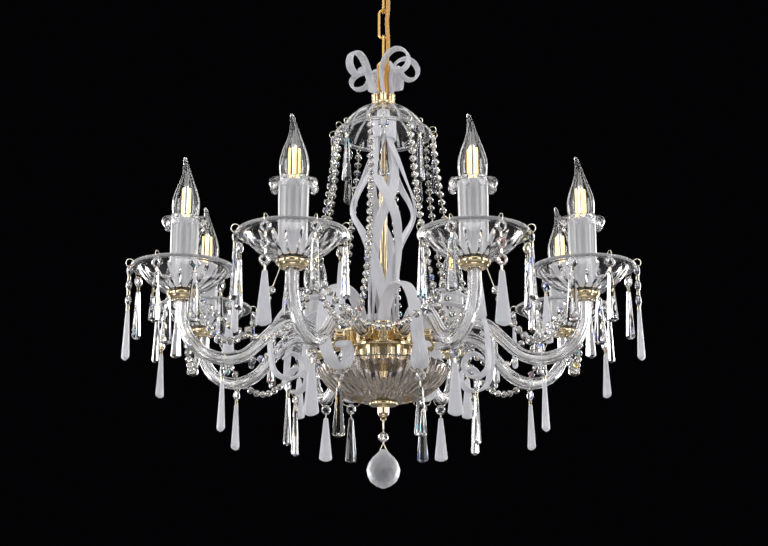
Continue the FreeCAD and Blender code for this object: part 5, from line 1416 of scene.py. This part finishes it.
class CHANDELIER_OT_stage(bpy.types.Operator):
    """Pale floor, dark studio air and soft lamps"""
    bl_idname = "chandelier.stage"
    bl_label = "Stage and light"

    def execute(self, context):
        scene = context.scene
        scene.view_settings.view_transform = "Standard"
        power = scene.chandelier_sizes.lamp_power
        mesh = bpy.data.meshes.new("floor")
        corners = [(x * FLOOR_REACH, y * FLOOR_REACH, FLOOR_LEVEL) for x, y in ((-1, -1), (1, -1), (1, 1), (-1, 1))]
        mesh.from_pydata(corners, [], [(0, 1, 2, 3)])
        floor = bpy.data.objects.new("floor", mesh)
        scene.collection.objects.link(floor)
        finish, tree, shader = new_finish("pale_floor")
        shader.inputs["Base Color"].default_value = (0.8, 0.79, 0.77, 1)
        shader.inputs["Roughness"].default_value = 0.7
        mesh.materials.append(finish)
        air = bpy.data.worlds.new("studio_air")
        air.use_nodes = True
        tree = air.node_tree
        path = node(tree, "ShaderNodeLightPath").outputs
        place = node(tree, "ShaderNodeTexCoord").outputs["Generated"]
        parts = node(tree, "ShaderNodeSeparateXYZ", (("Vector", place),)).outputs
        turn = maths(tree, "ARCTAN2", parts["Y"], parts["X"])
        wave = maths(tree, "COSINE", maths(tree, "MULTIPLY", turn, 6.0))
        panels = ranged(tree, wave, 0.1, 0.7, 0.12, 2.6)
        level = ranged(tree, parts["Z"], -0.75, -0.1, 0.25, 1.0)
        soft = tree.nodes["Background"]
        soft.inputs["Color"].default_value = (0.92, 0.93, 1.0, 1)
        soft.inputs["Strength"].default_value = 0.09
        mirrored = node(tree, "ShaderNodeBackground", (("Color", (1.0, 0.98, 0.96, 1)),
                                                       ("Strength", maths(tree, "MULTIPLY", panels, level))))
        dark = node(tree, "ShaderNodeBackground", (("Color", (0.0011, 0.0009, 0.0013, 1)), ("Strength", 1.0)))
        shallow = maths(tree, "LESS_THAN", path["Transmission Depth"], 4.5)
        through = maths(tree, "MULTIPLY", path["Is Transmission Ray"], shallow)
        seen = maths(tree, "MAXIMUM", path["Is Camera Ray"], through)
        shiny = maths(tree, "MAXIMUM", path["Is Glossy Ray"], path["Is Transmission Ray"])
        lit = mixed_light(tree, shiny, soft.outputs[0], mirrored.outputs[0])
        tree.links.new(mixed_light(tree, seen, lit, dark.outputs[0]), tree.nodes["World Output"].inputs["Surface"])
        scene.world = air
        middle = (0.0, 0.0, -0.5)
        for side, word in ((-1, "left"), (1, "right")):
            area_lamp("softbox_" + word, (1.7 * side, -0.9, -0.35), middle, (0.5, 1.6), 13 * power)
            area_lamp("softbox_%s_back" % word, (1.6 * side, 1.3, -0.4), middle, (0.5, 1.5), 15 * power)
        area_lamp("softbox_top", (0.0, -0.9, 0.9), middle, (1.6, 0.6), 9 * power)
        area_lamp("softbox_low", (0.0, -1.4, -1.9), middle, (1.2, 0.5), 5 * power)
        return {"FINISHED"}


class CHANDELIER_PT_panel(bpy.types.Panel):
    """Lists the chandelier's pieces in the sidebar"""
    bl_idname = "CHANDELIER_PT_panel"
    bl_label = "Crystal Chandelier"
    bl_space_type = "VIEW_3D"
    bl_region_type = "UI"
    bl_category = "Chandelier"

    def draw(self, context):
        for group in (context.scene.chandelier_sizes, context.scene.chandelier_colours):
            box = self.layout.box()
            for name in group.__annotations__:
                box.prop(group, name)
        for operator in OPERATORS:
            self.layout.operator(operator.bl_idname)


OPERATORS = (
    CHANDELIER_OT_camera, CHANDELIER_OT_cord, CHANDELIER_OT_canopy, CHANDELIER_OT_finial, CHANDELIER_OT_dome,
    CHANDELIER_OT_column, CHANDELIER_OT_hub, CHANDELIER_OT_arms, CHANDELIER_OT_dishes, CHANDELIER_OT_candles,
    CHANDELIER_OT_bulbs, CHANDELIER_OT_bowl, CHANDELIER_OT_scrolls, CHANDELIER_OT_garlands, CHANDELIER_OT_drops,
    CHANDELIER_OT_kept_nodes, CHANDELIER_OT_stage,
)


def register():
    for item in (ChandelierSizes, ChandelierColours, *OPERATORS, CHANDELIER_PT_panel):
        bpy.utils.register_class(item)
    bpy.types.Scene.chandelier_sizes = PointerProperty(type=ChandelierSizes)
    bpy.types.Scene.chandelier_colours = PointerProperty(type=ChandelierColours)


def unregister():
    del bpy.types.Scene.chandelier_colours
    del bpy.types.Scene.chandelier_sizes
    for item in (CHANDELIER_PT_panel, *reversed(OPERATORS), ChandelierColours, ChandelierSizes):
        bpy.utils.unregister_class(item)


def main():
    random.seed(8)
    register()
    finishes.update(make_finishes(bpy.context.scene.chandelier_colours))
    for operator in OPERATORS:
        family, name = operator.bl_idname.split(".")
        getattr(getattr(bpy.ops, family), name)()
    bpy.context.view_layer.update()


if __name__ == "__main__":
    main()
